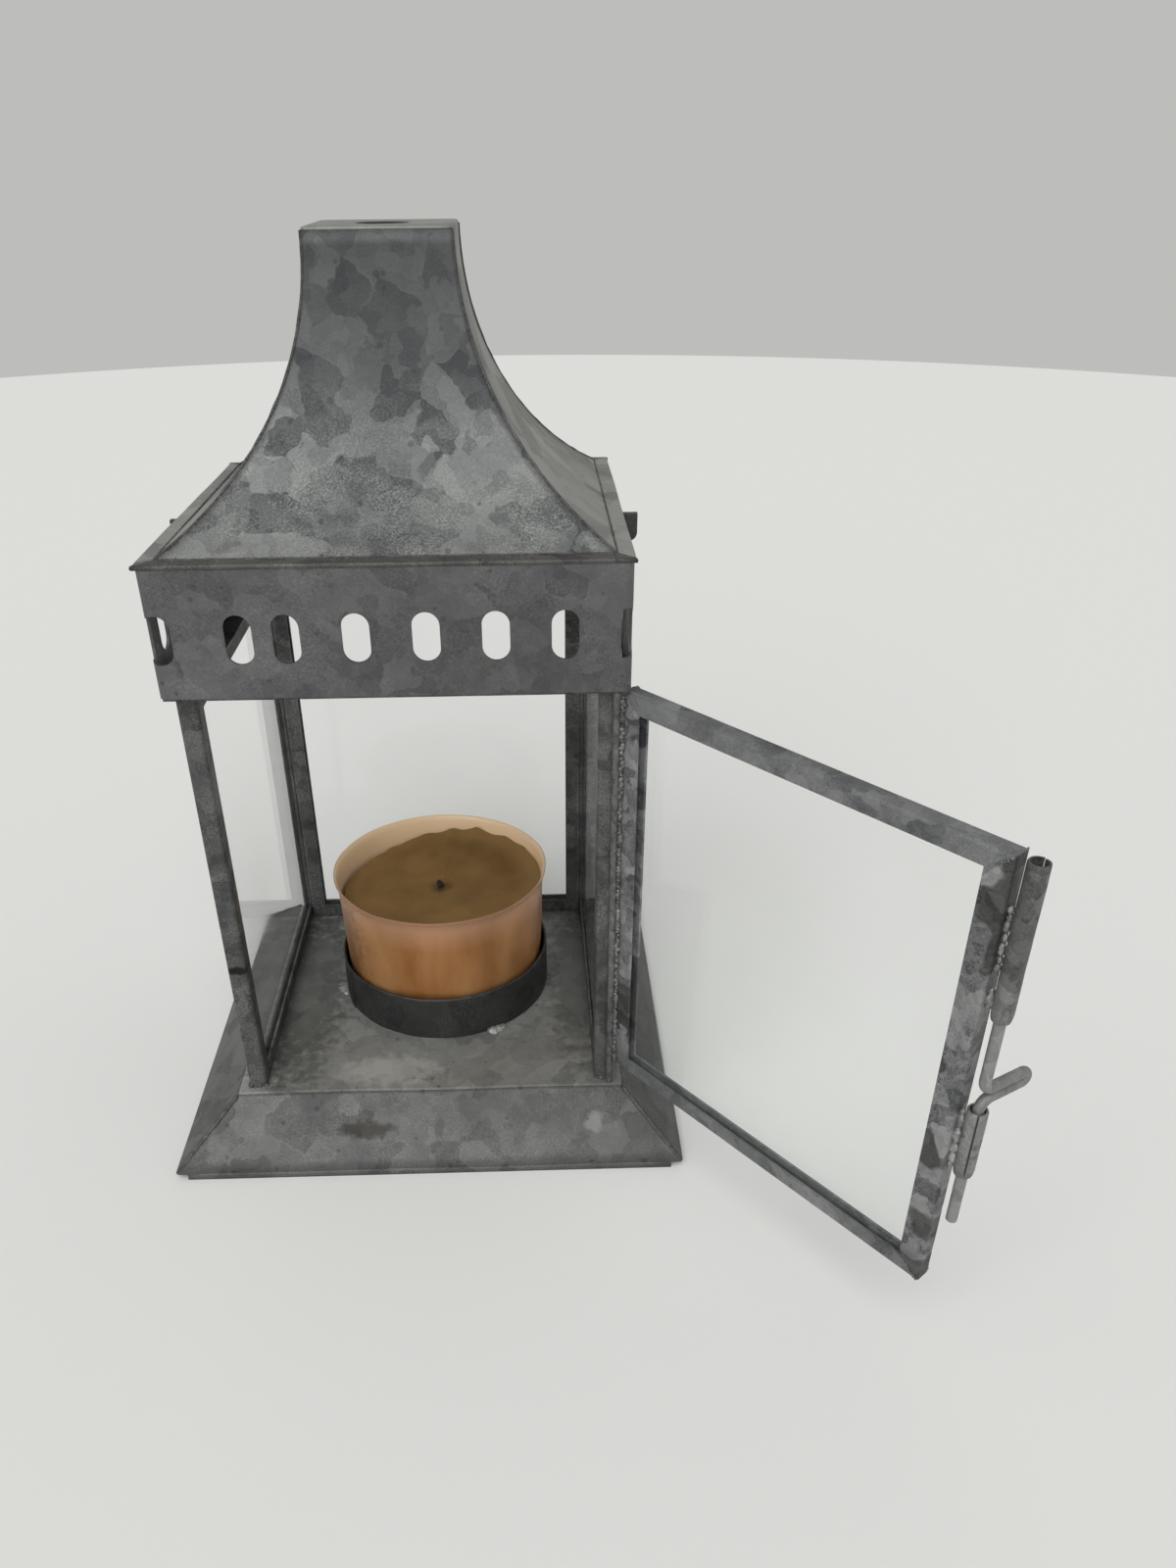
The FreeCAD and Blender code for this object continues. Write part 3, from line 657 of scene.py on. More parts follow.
wax_form = bmesh.new()
wax_rows = [[wax_form.verts.new(candle_centre + Vector((0, 0, wax_level - 0.9 * MM)))]]
for row in range(1, wax_rings + 1):
    share = row / wax_rings
    ring = []
    for turn in range(turned_segments):
        angle = math.tau * turn / turned_segments
        reach = wax_edge(angle) * share
        spot = round_point(Vector(), angle, reach, 0)
        dish = dish_depth * math.exp(-(reach / dish_reach) ** 2)
        dish += well_depth * math.exp(-(reach / well_reach) ** 2)
        ripple = 0.18 * MM * noise.noise(spot / (5 * MM)) + 0.05 * MM * noise.noise(spot / (1.2 * MM))
        creep = wax_lift(angle) * (0.35 * share + 0.65 * max(0, share - 0.86) / 0.14)
        spot.z = wax_level - dish + ripple + creep
        ring.append(wax_form.verts.new(candle_centre + spot))
    wax_rows.append(ring)
for depth, inset in ((1.5, 0.02), (4.0, 0.1), (21.4, 0.9)):
    level = max(wax_foot, wax_level - depth * MM)
    ring = []
    for turn in range(turned_segments):
        angle = math.tau * turn / turned_segments
        reach = wax_edge(angle) - inset * MM
        ring.append(wax_form.verts.new(round_point(candle_centre, angle, reach, level)))
    wax_rows.append(ring)
wax_rows.append([wax_form.verts.new(candle_centre + Vector((0, 0, wax_foot)))])
skin(wax_form, wax_rows)
wax_piece = settle("candle_wax_cake", solid_mesh("candle_wax_cake", wax_form, 50.0), "candle")
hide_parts("candle_wax", "candle_wick_tab")

wax, tree, shader = fresh_material("brown_wax")
place = object_place(tree)
cloud = cloud_of(tree, place, 110.0, 4.0)
grain = cloud_of(tree, place, 1400.0, 3.0)
wick_foot = (candle_centre[0], candle_centre[1], wax_level)
wick_far = add(tree, "ShaderNodeVectorMath", {0: place, 1: wick_foot}, operation="DISTANCE").outputs["Value"]
colour = mix_colour(tree, ranged(tree, cloud, 0.3, 0.7), (0.165, 0.088, 0.027, 1), (0.275, 0.16, 0.056, 1))
colour = mix_colour(tree, ranged(tree, wick_far, 0.013, 0.018, 0.0, 0.6), colour, (0.34, 0.215, 0.09, 1))
colour = mix_colour(tree, ranged(tree, wick_far, 0.0008, 0.0026, 0.75, 0.0), colour, (0.03, 0.02, 0.012, 1))
surface(tree, shader, colour, ranged(tree, cloud, 0.3, 0.7, 0.42, 0.58),
        figure(tree, "ADD", cloud, grain), 0.25)
shader.inputs["Specular IOR Level"].default_value = 0.08
lay_material(wax_piece, wax)

wick_rise = 0.1 * MM
wick_depth = 3.0 * MM
wick_radius = 0.55 * MM
wick_lean = (-0.5 * MM, 0.2 * MM)
wick_steps = 14
wick_sides = 12
wick_form = bmesh.new()
wick_rows = []
for step in range(wick_steps + 1):
    share = step / wick_steps
    height = wax_level - wick_depth + share * (wick_rise + wick_depth)
    middle = candle_centre + Vector((wick_lean[0] * share * share, wick_lean[1] * share, 0))
    ring = []
    for turn in range(wick_sides):
        angle = math.tau * turn / wick_sides + share * 5
        strand = 1 + 0.16 * math.cos(3 * (angle - share * 9)) + 0.12 * noise.noise((angle, share * 9, 0))
        reach = wick_radius * strand * (1 - 0.45 * max(0, share - 0.8) * 5)
        ring.append(wick_form.verts.new(round_point(middle, angle, reach, height)))
    wick_rows.append(ring)
skin(wick_form, wick_rows, ends=True)
wick_piece = settle("candle_wick_stub", solid_mesh("candle_wick_stub", wick_form, 70.0), "candle")
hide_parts("candle_wick")
char, tree, shader = fresh_material("charred_wick")
grain = cloud_of(tree, object_place(tree), 3000.0, 3.0)
colour = mix_colour(tree, grain, (0.004, 0.004, 0.004, 1), (0.035, 0.03, 0.025, 1))
surface(tree, shader, colour, relief=grain, strength=0.8, depth=0.0002)
shader.inputs["Roughness"].default_value = 0.9
lay_material(wick_piece, char)

# Panes: glass held in folded channels of zinc coated sheet, mitred and soldered at the corners.
# Three panes are soldered upright on the deck; the sheet is darker and more blotched than the roof's.
channel_zinc = zinc_material("channel_zinc", (0.036, 0.038, 0.041), (0.15, 0.15, 0.147), metallic=0.4,
                             bump=0.4, Crystals_per_Metre=420.0, Bloom=0.4, Pits=0.4, Grime=0.5, Contrast=1.1,
                             Stains=0.4)
door_zinc = zinc_material("door_zinc", (0.07, 0.072, 0.078), (0.33, 0.33, 0.335), metallic=0.4, bump=0.4,
                          Crystals_per_Metre=380.0, Bloom=0.45, Pits=0.3, Grime=0.35, Contrast=1.6,
                          Stains=0.75)
rail_zinc = zinc_material("rail_zinc", (0.09, 0.093, 0.10), (0.27, 0.275, 0.28), metallic=0.4, bump=0.4,
                          Crystals_per_Metre=300.0, Bloom=0.35, Pits=0.3, Grime=0.3, Contrast=1.2,
                          Stains=0.25)
# painted shade: a near-black slit on the front of the left post, where a small lug with a hole casts its
# shadow; the lug is not modelled
mark(channel_zinc, (-29.9, -27.3, 34.3), (3.5, 3.5, 0.75), (0.003, 0.003, 0.003, 1), 1.0)


def dress(names, material):
    """Give the CAD parts of these names one material."""
    for name in names:
        lay_material(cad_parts[name], material)


pane_uprights = {"left": ("front", "rear"), "right": ("front", "rear"), "back": ("left", "right")}
for pane, uprights in pane_uprights.items():
    dress([pane + "_pane_" + edge + "_channel" for edge in uprights + ("top", "bottom")], channel_zinc)
dress(["door_free_stile", "door_hinge_stile"], door_zinc)
dress(["door_top_rail", "door_bottom_rail"], rail_zinc)

window, tree, shader = fresh_material("window_glass")
film = cloud_of(tree, object_place(tree), 35.0, 5.0)
colour = mix_colour(tree, ranged(tree, film, 0.35, 0.7), (0.985, 0.995, 0.99, 1), (0.95, 0.962, 0.953, 1))
surface(tree, shader, colour, ranged(tree, film, 0.4, 0.75, 0.0, 0.09))
shader.inputs["Transmission Weight"].default_value = 1.0
shader.inputs["IOR"].default_value = 1.3
shadow = add(tree, "ShaderNodeLightPath").outputs["Is Shadow Ray"]
clear = add(tree, "ShaderNodeBsdfTransparent", {"Color": (0.93, 0.945, 0.935, 1)})
choose = add(tree, "ShaderNodeMixShader", {0: shadow, 1: shader.outputs[0], 2: clear.outputs[0]})
tree.links.new(choose.outputs[0], tree.nodes["Material Output"].inputs["Surface"])
dress(["left_pane_glass", "right_pane_glass", "back_pane_glass", "door_glass"], window)

# Solder of the panes: a small smear over each mitre and a rougher run up the corners where the panes meet.
# Geometry Nodes scatter the lumps along the seams, with a fixed seed.
body_half = (30.65 * MM, 27.3 * MM)
pane_thickness = 3.0 * MM
pane_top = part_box("ledge_frame")[0][2]
foot_level = deck_top + 0.1 * MM
foot_run = 7.0 * MM
post_width = 2.4 * MM
post_edge = 0.4 * MM


def lumps_tree():
    """A tree that sets small uneven lumps of solder along the edges of a mesh."""
    tree = bpy.data.node_groups.new("solder_lumps", "GeometryNodeTree")
    name_sockets(tree, {"Seams": "Geometry", "Radius": 0.0005, "Spacing": 0.001, "Wander": 0.0003, "Seed": 3,
                        "Finish": "Material"}, {"Solder": "Geometry"})
    given = add(tree, "NodeGroupInput").outputs

    def random_vector(least, most):
        return add(tree, "FunctionNodeRandomValue", {0: least, 1: most, "Seed": given["Seed"]},
                   data_type="FLOAT_VECTOR").outputs[0]

    def threefold(value):
        return add(tree, "ShaderNodeCombineXYZ", {0: value, 1: value, 2: value}).outputs[0]

    seams = add(tree, "GeometryNodeMeshToCurve", {"Mesh": given["Seams"]})
    spots = add(tree, "GeometryNodeCurveToPoints", {"Curve": seams.outputs[0], "Length": given["Spacing"]},
                mode="LENGTH")
    back = figure(tree, "MULTIPLY", given["Wander"], -1.0)
    shift = random_vector(threefold(back), threefold(given["Wander"]))
    moved = add(tree, "GeometryNodeSetPosition", {"Geometry": spots.outputs[0], "Offset": shift})
    ball = add(tree, "GeometryNodeMeshIcoSphere", {"Radius": given["Radius"], "Subdivisions": 2})
    size = add(tree, "FunctionNodeRandomValue", {2: 0.5, 3: 1.35, "Seed": given["Seed"]})
    lumps = add(tree, "GeometryNodeInstanceOnPoints",
                {"Points": moved.outputs[0], "Instance": ball.outputs[0], "Scale": size.outputs[1],
                 "Rotation": random_vector((0, 0, 0), (math.tau, math.tau, math.tau))})
    real = add(tree, "GeometryNodeRealizeInstances", {"Geometry": lumps.outputs[0]})
    rough = stray_of(tree, add(tree, "GeometryNodeInputPosition").outputs[0], 1500.0, 1.0, 0.0005)
    uneven = add(tree, "GeometryNodeSetPosition", {"Geometry": real.outputs[0], "Offset": rough})
    shaded = add(tree, "GeometryNodeSetShadeSmooth", {"Geometry": uneven.outputs[0]})
    finished = add(tree, "GeometryNodeSetMaterial", {"Geometry": shaded.outputs[0],
                                                     "Material": given["Finish"]})
    add(tree, "NodeGroupOutput", {0: finished.outputs[0]})
    return tree


def grown(name, mesh, tree, values, body):
    """Run a Geometry Nodes tree on a mesh and keep what it makes as a plain mesh that rides on a body."""
    piece = settle(name, mesh)
    modifier = piece.modifiers.new("grow", "NODES")
    modifier.node_group = tree
    for socket_name, value in values.items():
        modifier[tree.interface.items_tree[socket_name].identifier] = value
    result = bpy.data.meshes.new_from_object(piece.evaluated_get(bpy.context.evaluated_depsgraph_get()))
    piece.modifiers.clear()
    piece.data = result
    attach(piece, body)
    return piece


solder_lumps = lumps_tree()


def solder_along(name, seams, body, finish, seed, radius, spacing, wander):
    """Solder in lumps along seams, given as pairs of points; the lumps' sizes are in mm."""
    mesh = bpy.data.meshes.new(name)
    points = [point for seam in seams for point in seam]
    mesh.from_pydata(points, [(2 * index, 2 * index + 1) for index in range(len(seams))], [])
    return grown(name, mesh, solder_lumps, {"Radius": radius * MM, "Spacing": spacing * MM,
                                            "Wander": wander * MM, "Seed": seed, "Finish": finish}, body)


corner_seams = []
for x_side in (-1, 1):
    x = x_side * (body_half[0] - pane_thickness)
    back = body_half[1] - 0.1 * MM
    corner_seams.append(((x, back, deck_top), (x, back, pane_top)))
    for y_side in (-1, 1):
        y = y_side * (body_half[1] - 1.2 * MM)
        outer = x_side * (body_half[0] - 0.35 * MM)
        corner_seams.append(((outer, y, foot_level), (outer, y - y_side * foot_run, foot_level)))
for x_side in (-1, 1):
    outer = x_side * (body_half[0] - post_edge)
    inner = x_side * (body_half[0] - post_edge - post_width)
    front = -body_half[1] + 0.2 * MM
    corner_seams.append(((outer, front, foot_level), (inner, front, foot_level)))
pane_solder = solder_along("pane_solder", corner_seams, "lantern", dark_solder_and_crease_shade, 5, 0.5, 0.575, 0.16)

# Hinge: a straight wire soldered down the edge of the door; it turns in holes in the deck and the ledge.
# The solder runs the whole height in rough lumps and has darkened.
door_turn = math.radians(129.2)
door_along = Vector((math.cos(door_turn), math.sin(door_turn), 0))
door_front = Vector((math.sin(door_turn), -math.cos(door_turn), 0))
hinge_low, hinge_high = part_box("door_hinge_wire")
hinge_axis = Vector(((hinge_low[0] + hinge_high[0]) / 2, (hinge_low[1] + hinge_high[1]) / 2, 0))
door_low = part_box("door_bottom_rail")[0][2]
door_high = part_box("door_top_rail")[1][2]
solder_margin = 0.6 * MM
wire_zinc = zinc_material("hinge_wire", (0.05, 0.05, 0.052), (0.26, 0.26, 0.255), metallic=0.6, bump=0.6,
                          Crystals_per_Metre=900.0, Bloom=0.3, Pits=0.5, Grime=0.5)
mid_solder = zinc_material("mid_solder", (0.07, 0.07, 0.072), (0.30, 0.30, 0.295), metallic=0.45, bump=0.6,
                           Crystals_per_Metre=800.0, Bloom=0.25, Pits=0.4, Grime=0.4)
dress(["door_hinge_wire"], wire_zinc)


def up(height):
    """A vector that points straight up."""
    return Vector((0, 0, height))


hinge_seams = []
for aside, forward in ((0.75, 0.42), (0.34, 0.46)):
    foot = hinge_axis - door_along * aside * MM + door_front * forward * MM
    hinge_seams.append((foot + up(door_low + solder_margin), foot + up(door_high - solder_margin)))
hinge_solder = solder_along("hinge_solder", hinge_seams, "door", mid_solder, 8, 0.36, 0.55, 0.13)
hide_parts("door_hinge_solder")

# Latch: two guide tubes rolled from strip, with an open seam down each and their lower ends pinched in.
# Drops of bright solder fix them to the edge of the door, and the wire bolt slides in them.
tube_wall = 0.28 * MM
tube_inset = 0.03 * MM
tube_dent = 0.07 * MM
tube_seam_half = 0.125 * MM
tube_sides = 40
tube_low, tube_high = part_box("latch_upper_tube")
tube_radius = (tube_high[0] - tube_low[0]) / 2
bolt_axis = Vector(((tube_low[0] + tube_high[0]) / 2, (tube_low[1] + tube_high[1]) / 2, 0))
front_angle = math.atan2(door_front[1], door_front[0])
tube_pinch = ((0.0, 0.2), (0.25, 0.12), (0.7, 0.05), (1.3, 0.0))
drop_levels = (61.6, 67.1, 70.1, 72.8, 36.8, 38.5, 40.6, 43.2)
bolt_steel = zinc_material("bolt_wire", (0.20, 0.20, 0.20), (0.42, 0.42, 0.41), metallic=0.6, bump=0.3,
                           Crystals_per_Metre=500.0, Bloom=0.1, Pits=0.3, Grime=0.3)
tube_zinc = zinc_material("tube_zinc", (0.10, 0.102, 0.104), (0.37, 0.37, 0.365), metallic=0.5, bump=0.5,
                          Crystals_per_Metre=420.0, Bloom=0.4, Pits=0.4, Grime=0.5, Contrast=1.3, Stains=0.5)
dress(["latch_bolt"], bolt_steel)


def rolled_tube_form(low_z, high_z, seam_angle, seed):
    """A tube rolled from strip round the bolt's axis, open along its seam, with a pinched lower end."""
    form = bmesh.new()
    length = (high_z - low_z) / MM
    levels = list(tube_pinch) + [(rise, 0.0) for rise in range(2, int(length))]
    levels += [(length - 0.12, 0.0), (length, 0.07)]
    seam_gap = tube_seam_half / tube_radius
    sleeves = []
    for rise, pinch in levels:
        z = low_z + rise * MM
        sleeve = []
        for wall in (0, 1):
            for turn in range(tube_sides + 1):
                share = turn / tube_sides
                angle = seam_angle + seam_gap + share * (math.tau - 2 * seam_gap)
                where = (math.cos(angle) * 1.5, math.sin(angle) * 1.5 + seed, z / (4 * MM))
                lift = tube_dent * noise.noise(where)
                lift += 0.05 * MM * (max(0, 1 - share * 14) - max(0, 1 - (1 - share) * 10))
                reach = tube_radius - tube_inset - pinch * MM + lift - wall * (tube_wall - 0.6 * pinch * MM)
                sleeve.append(form.verts.new(round_point(bolt_axis, angle, reach, z)))
        sleeves.append(sleeve)
    outer = list(range(tube_sides + 1))
    loop = outer + [index + tube_sides + 1 for index in reversed(outer)]
    for low, high in zip(sleeves, sleeves[1:]):
        for first, second in zip(loop, loop[1:] + loop[:1]):
            form.faces.new((low[first], low[second], high[second], high[first]))
    for sleeve in (sleeves[0], sleeves[-1]):
        quads(form, sleeve[:tube_sides + 1], sleeve[tube_sides + 1:])
    return form


for node_name, seed, seam_turn in (("latch_upper_tube", 1.0, 0.0), ("latch_lower_tube", 2.0, -147.0)):
    low_z, high_z = (corner[2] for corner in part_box(node_name))
    tube_form = rolled_tube_form(low_z, high_z, front_angle + math.radians(seam_turn), seed)
    tube_piece = settle(node_name + "_rolled", solid_mesh(node_name + "_rolled", tube_form, 40.0), "door")
    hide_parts(node_name)
    lay_material(tube_piece, tube_zinc)

drop_form = bmesh.new()
drop_foot = bolt_axis + door_along * (tube_radius + 0.24 * MM) - door_front * 0.35 * MM
for number, level in enumerate(drop_levels):
    spot = drop_foot + up(level * MM)
    solder_drop(drop_form, spot, (0.4 if 0 < number < 4 else 0.72) * MM, 1.3, 3.0 * number)
    for step in (-1, 1):
        beside = spot + up(step * (0.9 + 0.2 * (number % 3)) * MM) + door_along * 0.1 * MM
        solder_drop(drop_form, beside, 0.42 * MM, 1.4, 3.0 * number + step, 2)
latch_drops = settle("latch_drops", solid_mesh("latch_drops", drop_form, 60.0), "door")
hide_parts("latch_solder")
lay_material(latch_drops, pale_solder)

# Door mitres: a thin smear of solder where the channels meet, on both faces of the frame.
# The outer faces were filed flat afterwards, so only small lumps stand proud.
door_width = 59.8 * MM
mitre_run = (2.6 * MM, 2.2 * MM)
mitre_inset = 0.2 * MM
face_reaches = (0.68, 3.58)
mitre_seams = []
hinge_edge = hinge_axis - door_along * 0.1 * MM
free_edge = hinge_edge - door_along * door_width
for z, rise in ((door_low, 1), (door_high, -1)):
    for corner, inward in ((free_edge, 1), (hinge_edge, -1)):
        for forward in face_reaches:
            start = corner + door_front * forward * MM + up(z + rise * mitre_inset)
            start += door_along * inward * mitre_inset
            mitre_seams.append((start, start + door_along * inward * mitre_run[0] + up(rise * mitre_run[1])))
door_mitres = solder_along("door_mitre_solder", mitre_seams, "door", mid_solder, 11, 0.15, 0.22, 0.09)

# Ledge and ears: a flat frame of sheet lies on the panes and carries the cornice, with a lug at each side.
# Both keep their CAD shapes. Nothing hangs from the lugs.
dress(["ledge_frame"], channel_zinc)
ear_zinc = zinc_material("ear_zinc", (0.03, 0.03, 0.032), (0.11, 0.11, 0.108), metallic=0.4, bump=0.5,
                         Crystals_per_Metre=500.0, Bloom=0.2, Pits=0.4, Grime=0.6)
dress(["ear_left", "ear_right"], ear_zinc)

# Cornice band: a strip of sheet, punched along its whole length with round-ended slots, then folded to a box
# and lapped at the front. The slots were punched before folding, so they run on round the corners.
band_low, band_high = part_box("cornice_band")
punch_values = {"Width": band_high[0] - band_low[0], "Depth": band_high[1] - band_low[1],
                "Height": band_high[2] - band_low[2], "Wall": sheet, "Corner": 0.9 * MM,
                "Slot Width": 3.7 * MM, "Slot Height": 6.8 * MM, "Slot Rise": 8.2 * MM, "Slot Count": 27,
                "First Slot": -13.85 * MM, "Corner Slip": 1.4 * MM, "Seam": -17.2 * MM, "Lap": 3.0 * MM,
                "Lap Gap": 3.2 * MM}


def punched_band_tree():
    """A tree that folds a strip round a rectangle and punches it with slots, spaced along the flat strip."""
    tree = bpy.data.node_groups.new("punched_band", "GeometryNodeTree")
    name_sockets(tree, {"Start": "Geometry", **punch_values, "Finish": "Material"}, {"Band": "Geometry"})
    given = add(tree, "NodeGroupInput").outputs
    width, depth, height, wall = given["Width"], given["Depth"], given["Height"], given["Wall"]

    def plus(first, second):
        return figure(tree, "ADD", first, second)

    def minus(first, second):
        return figure(tree, "SUBTRACT", first, second)

    def times(first, second):
        return figure(tree, "MULTIPLY", first, second)

    def spot(x, y, z):
        return add(tree, "ShaderNodeCombineXYZ", {0: x, 1: y, 2: z}).outputs[0]

    def moved(geometry, offset):
        return add(tree, "GeometryNodeTransform", {"Geometry": geometry, "Translation": offset}).outputs[0]

    def rounded(across, along, radius, count):
        outline = add(tree, "GeometryNodeCurvePrimitiveQuadrilateral", {"Width": across, "Height": along})
        return add(tree, "GeometryNodeFilletCurve", {"Curve": outline.outputs[0], "Count": count,
                                                     "Radius": radius, "Limit Radius": True},
                   mode="POLY").outputs[0]

    def joined(pieces):
        join = add(tree, "GeometryNodeJoinGeometry")
        for piece in pieces:
            tree.links.new(piece, join.inputs[0])
        return join.outputs[0]

    # the folded band, with the tab of its lap on the inside of the front
    half_height = times(height, 0.5)
    strip = add(tree, "GeometryNodeCurvePrimitiveQuadrilateral", {"Width": wall, "Height": height}).outputs[0]
    path = rounded(minus(width, wall), minus(depth, wall), given["Corner"], 6)
    band = add(tree, "GeometryNodeCurveToMesh", {"Curve": path, "Profile Curve": strip}).outputs[0]
    band = moved(band, spot(0.0, 0.0, half_height))
    tab_y = plus(times(depth, -0.5), times(wall, 1.5))
    tab_size = spot(given["Lap"], wall, minus(height, given["Lap Gap"]))
    tab = add(tree, "GeometryNodeMeshCube", {"Size": tab_size})
    tab = moved(tab.outputs[0], spot(given["Seam"], tab_y, half_height))

    # one punch: a rod with the slot's outline
    reach = times(wall, 6.0)
    rod_line = add(tree, "GeometryNodeCurvePrimitiveLine", {0: spot(0.0, 0.0, times(reach, -0.5)),
                                                            1: spot(0.0, 0.0, times(reach, 0.5))})
    outline = rounded(given["Slot Width"], given["Slot Height"], times(given["Slot Width"], 0.499), 9)
    punch = add(tree, "GeometryNodeCurveToMesh", {"Curve": rod_line.outputs[0], "Profile Curve": outline,
                                                  "Fill Caps": True}).outputs[0]

    # the punches: one row along the flat strip, taken wall by wall, with the last but one a little late
    girth = times(plus(width, depth), 2.0)
    pitch = figure(tree, "DIVIDE", plus(girth, given["Lap"]), given["Slot Count"])
    first = plus(given["First Slot"], times(width, 0.5))
    starts = (0.0, width, plus(width, depth), minus(girth, depth))
    late = add(tree, "FunctionNodeCompare", {2: add(tree, "GeometryNodeInputIndex").outputs[0],
                                             3: minus(given["Slot Count"], 2)},
               data_type="INT", operation="EQUAL").outputs[0]
    slip = spot(times(given["Corner Slip"], -1.0), 0.0, 0.0)
    half_slot = times(given["Slot Width"], 0.5)
    rows = []
    for number in range(4):
        length, across = (width, depth) if number in (0, 2) else (depth, width)
        laps = []
        for lap_round in (0.0, girth):
            begin = minus(minus(first, starts[number]), lap_round)
            line = add(tree, "GeometryNodeMeshLine", {"Count": given["Slot Count"],
                                                      "Start Location": spot(begin, 0.0, 0.0),
                                                      "Offset": spot(pitch, 0.0, 0.0)})
            laps.append(add(tree, "GeometryNodeSetPosition", {"Geometry": line.outputs[0], "Selection": late,
                                                              "Offset": slip}).outputs[0])
        position = add(tree, "GeometryNodeInputPosition").outputs[0]
        along = add(tree, "ShaderNodeSeparateXYZ", {0: position}).outputs[0]
        before = figure(tree, "LESS_THAN", along, times(half_slot, -1.0))
        after = figure(tree, "GREATER_THAN", along, plus(length, half_slot))
        kept = add(tree, "GeometryNodeDeleteGeometry", {"Geometry": joined(laps),
                                                        "Selection": figure(tree, "MAXIMUM", before, after)})
        shift = spot(times(length, -0.5), times(minus(across, wall), -0.5), given["Slot Rise"])
        placed = add(tree, "GeometryNodeSetPosition", {"Geometry": kept.outputs[0], "Offset": shift})
        punches = add(tree, "GeometryNodeInstanceOnPoints", {"Points": placed.outputs[0], "Instance": punch,
                                                             "Rotation": (math.radians(90), 0, 0)})
        turned = add(tree, "GeometryNodeTransform", {"Geometry": punches.outputs[0],
                                                     "Rotation": (0, 0, math.radians(90 * number))})
        rows.append(turned.outputs[0])
    real = add(tree, "GeometryNodeRealizeInstances", {"Geometry": joined(rows)}).outputs[0]
    punched = add(tree, "GeometryNodeMeshBoolean", {"Self Intersection": True}, operation="DIFFERENCE",
                  solver="EXACT")
    tree.links.new(joined((tab, band)), punched.inputs["Mesh 1"])
    tree.links.new(real, punched.inputs["Mesh 2"])
    finished = add(tree, "GeometryNodeSetMaterial", {"Geometry": punched.outputs[0],
                                                     "Material": given["Finish"]})
    add(tree, "NodeGroupOutput", {0: finished.outputs[0]})
    return tree


band_zinc = zinc_material("band_zinc", (0.052, 0.054, 0.056), (0.184, 0.186, 0.188), bump=0.3, Bloom=0.22,
                          Crystals_per_Metre=260.0, Pits=0.45, Grime=0.45, Contrast=0.75)
band_piece = grown("cornice_punched_band", bpy.data.meshes.new("cornice_punched_band"), punched_band_tree(),
                   {**punch_values, "Finish": band_zinc}, "lantern")
for vertex in band_piece.data.vertices:
    vertex.co.z += band_low[2]
smooth(band_piece.data, 35.0)
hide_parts("cornice_band")

# Roof: four panels of sheet bent to one arc and soldered along the ridges, the front and back ones on top.
# At the eaves the sheet turns out to a narrow hem with a rounded edge.
roof_arc_radius = 42.0 * MM
hem_lip = 2.4 * MM
hem_thickness = 0.75 * MM
hem_round = ((-0.28, 0.06), (-0.08, 0.16), (0.0, 0.34), (-0.02, 0.6), (-0.14, 0.73), (-1.2, 0.74))
ridge_overhang = 0.16 * MM
ridge_retreat = -0.2 * MM
arc_rows = 34
crease_steps = 60
hand_wave = 13.0 * MM
hand_reach = 0.1 * MM
hand_shifts = (Vector((0, 0, 0)), Vector((31.7, 0, 0)), Vector((0, 47.3, 0)))
cap_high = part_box("chimney_cap")[1]
roof_low, roof_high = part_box("roof_front")
roof_top = roof_high[2]
hem_top = roof_low[2] + hem_thickness
eaves_half = (roof_high[0], -roof_low[1])
arc_foot = (eaves_half[0] - hem_lip, eaves_half[1] - hem_lip)


def arc_half(foot, chimney, z):
    """How far the roof stands out from its axis at a height, on an arc from its foot to the chimney."""
    run, rise = foot - chimney, roof_top - hem_top
    chord = math.hypot(run, rise)
    reach = math.sqrt(roof_arc_radius ** 2 - chord ** 2 / 4)
    centre_x = (foot + chimney) / 2 + reach * rise / chord
    centre_z = (hem_top + roof_top) / 2 + reach * run / chord
    return centre_x - math.sqrt(roof_arc_radius ** 2 - (z - centre_z) ** 2)


def hand_bend(mesh):
    """Bend a panel a little as by hand: a slow wave all over, and a dent towards the back left corner."""
    for vertex in mesh.vertices:
        bend = [noise.noise(vertex.co / hand_wave + shift) for shift in hand_shifts]
        vertex.co += Vector(bend) * hand_reach
        left = max(0.0, -vertex.co.x - 14 * MM) / (18 * MM)
        vertex.co.x += 0.4 * MM * left * max(0.0, vertex.co.y + 6 * MM) / (36 * MM)
        vertex.co.y -= 0.3 * MM * max(0.0, vertex.co.y - 10 * MM) / (20 * MM)


arc_rings = []
for row in range(arc_rows + 1):
    z = hem_top + (roof_top - hem_top) * (1 - row / arc_rows) ** 1.7
    arc_rings.append((arc_half(arc_foot[0], cap_high[0], z), arc_half(arc_foot[1], cap_high[1], z), z))
hem_rings = [(eaves_half[0] + out * MM, eaves_half[1] + out * MM, hem_top - drop * MM)
             for out, drop in hem_round]
# The front and back panels darken towards their tops through the fade: painted shade on the steep upper
# sheet.
roof_zinc = zinc_material("roof_zinc", (0.066, 0.069, 0.072), (0.25, 0.257, 0.252), bump=0.3, Bloom=0.8,
                          Crystals_per_Metre=200.0, Pits=0.45, Grime=0.12, Contrast=1.35, Fade=0.5,
                          Fade_From=0.104, Fade_To=0.120)
# The hem of the front and back panels gets a darker copy of the roof's zinc with more grime: painted shade on
# the hem under the eaves, and some dirt.
hem_zinc_painted_shade = zinc_material("hem_zinc_painted_shade", (0.035, 0.034, 0.032), (0.12, 0.115, 0.108), bump=0.3, Grime=0.5)
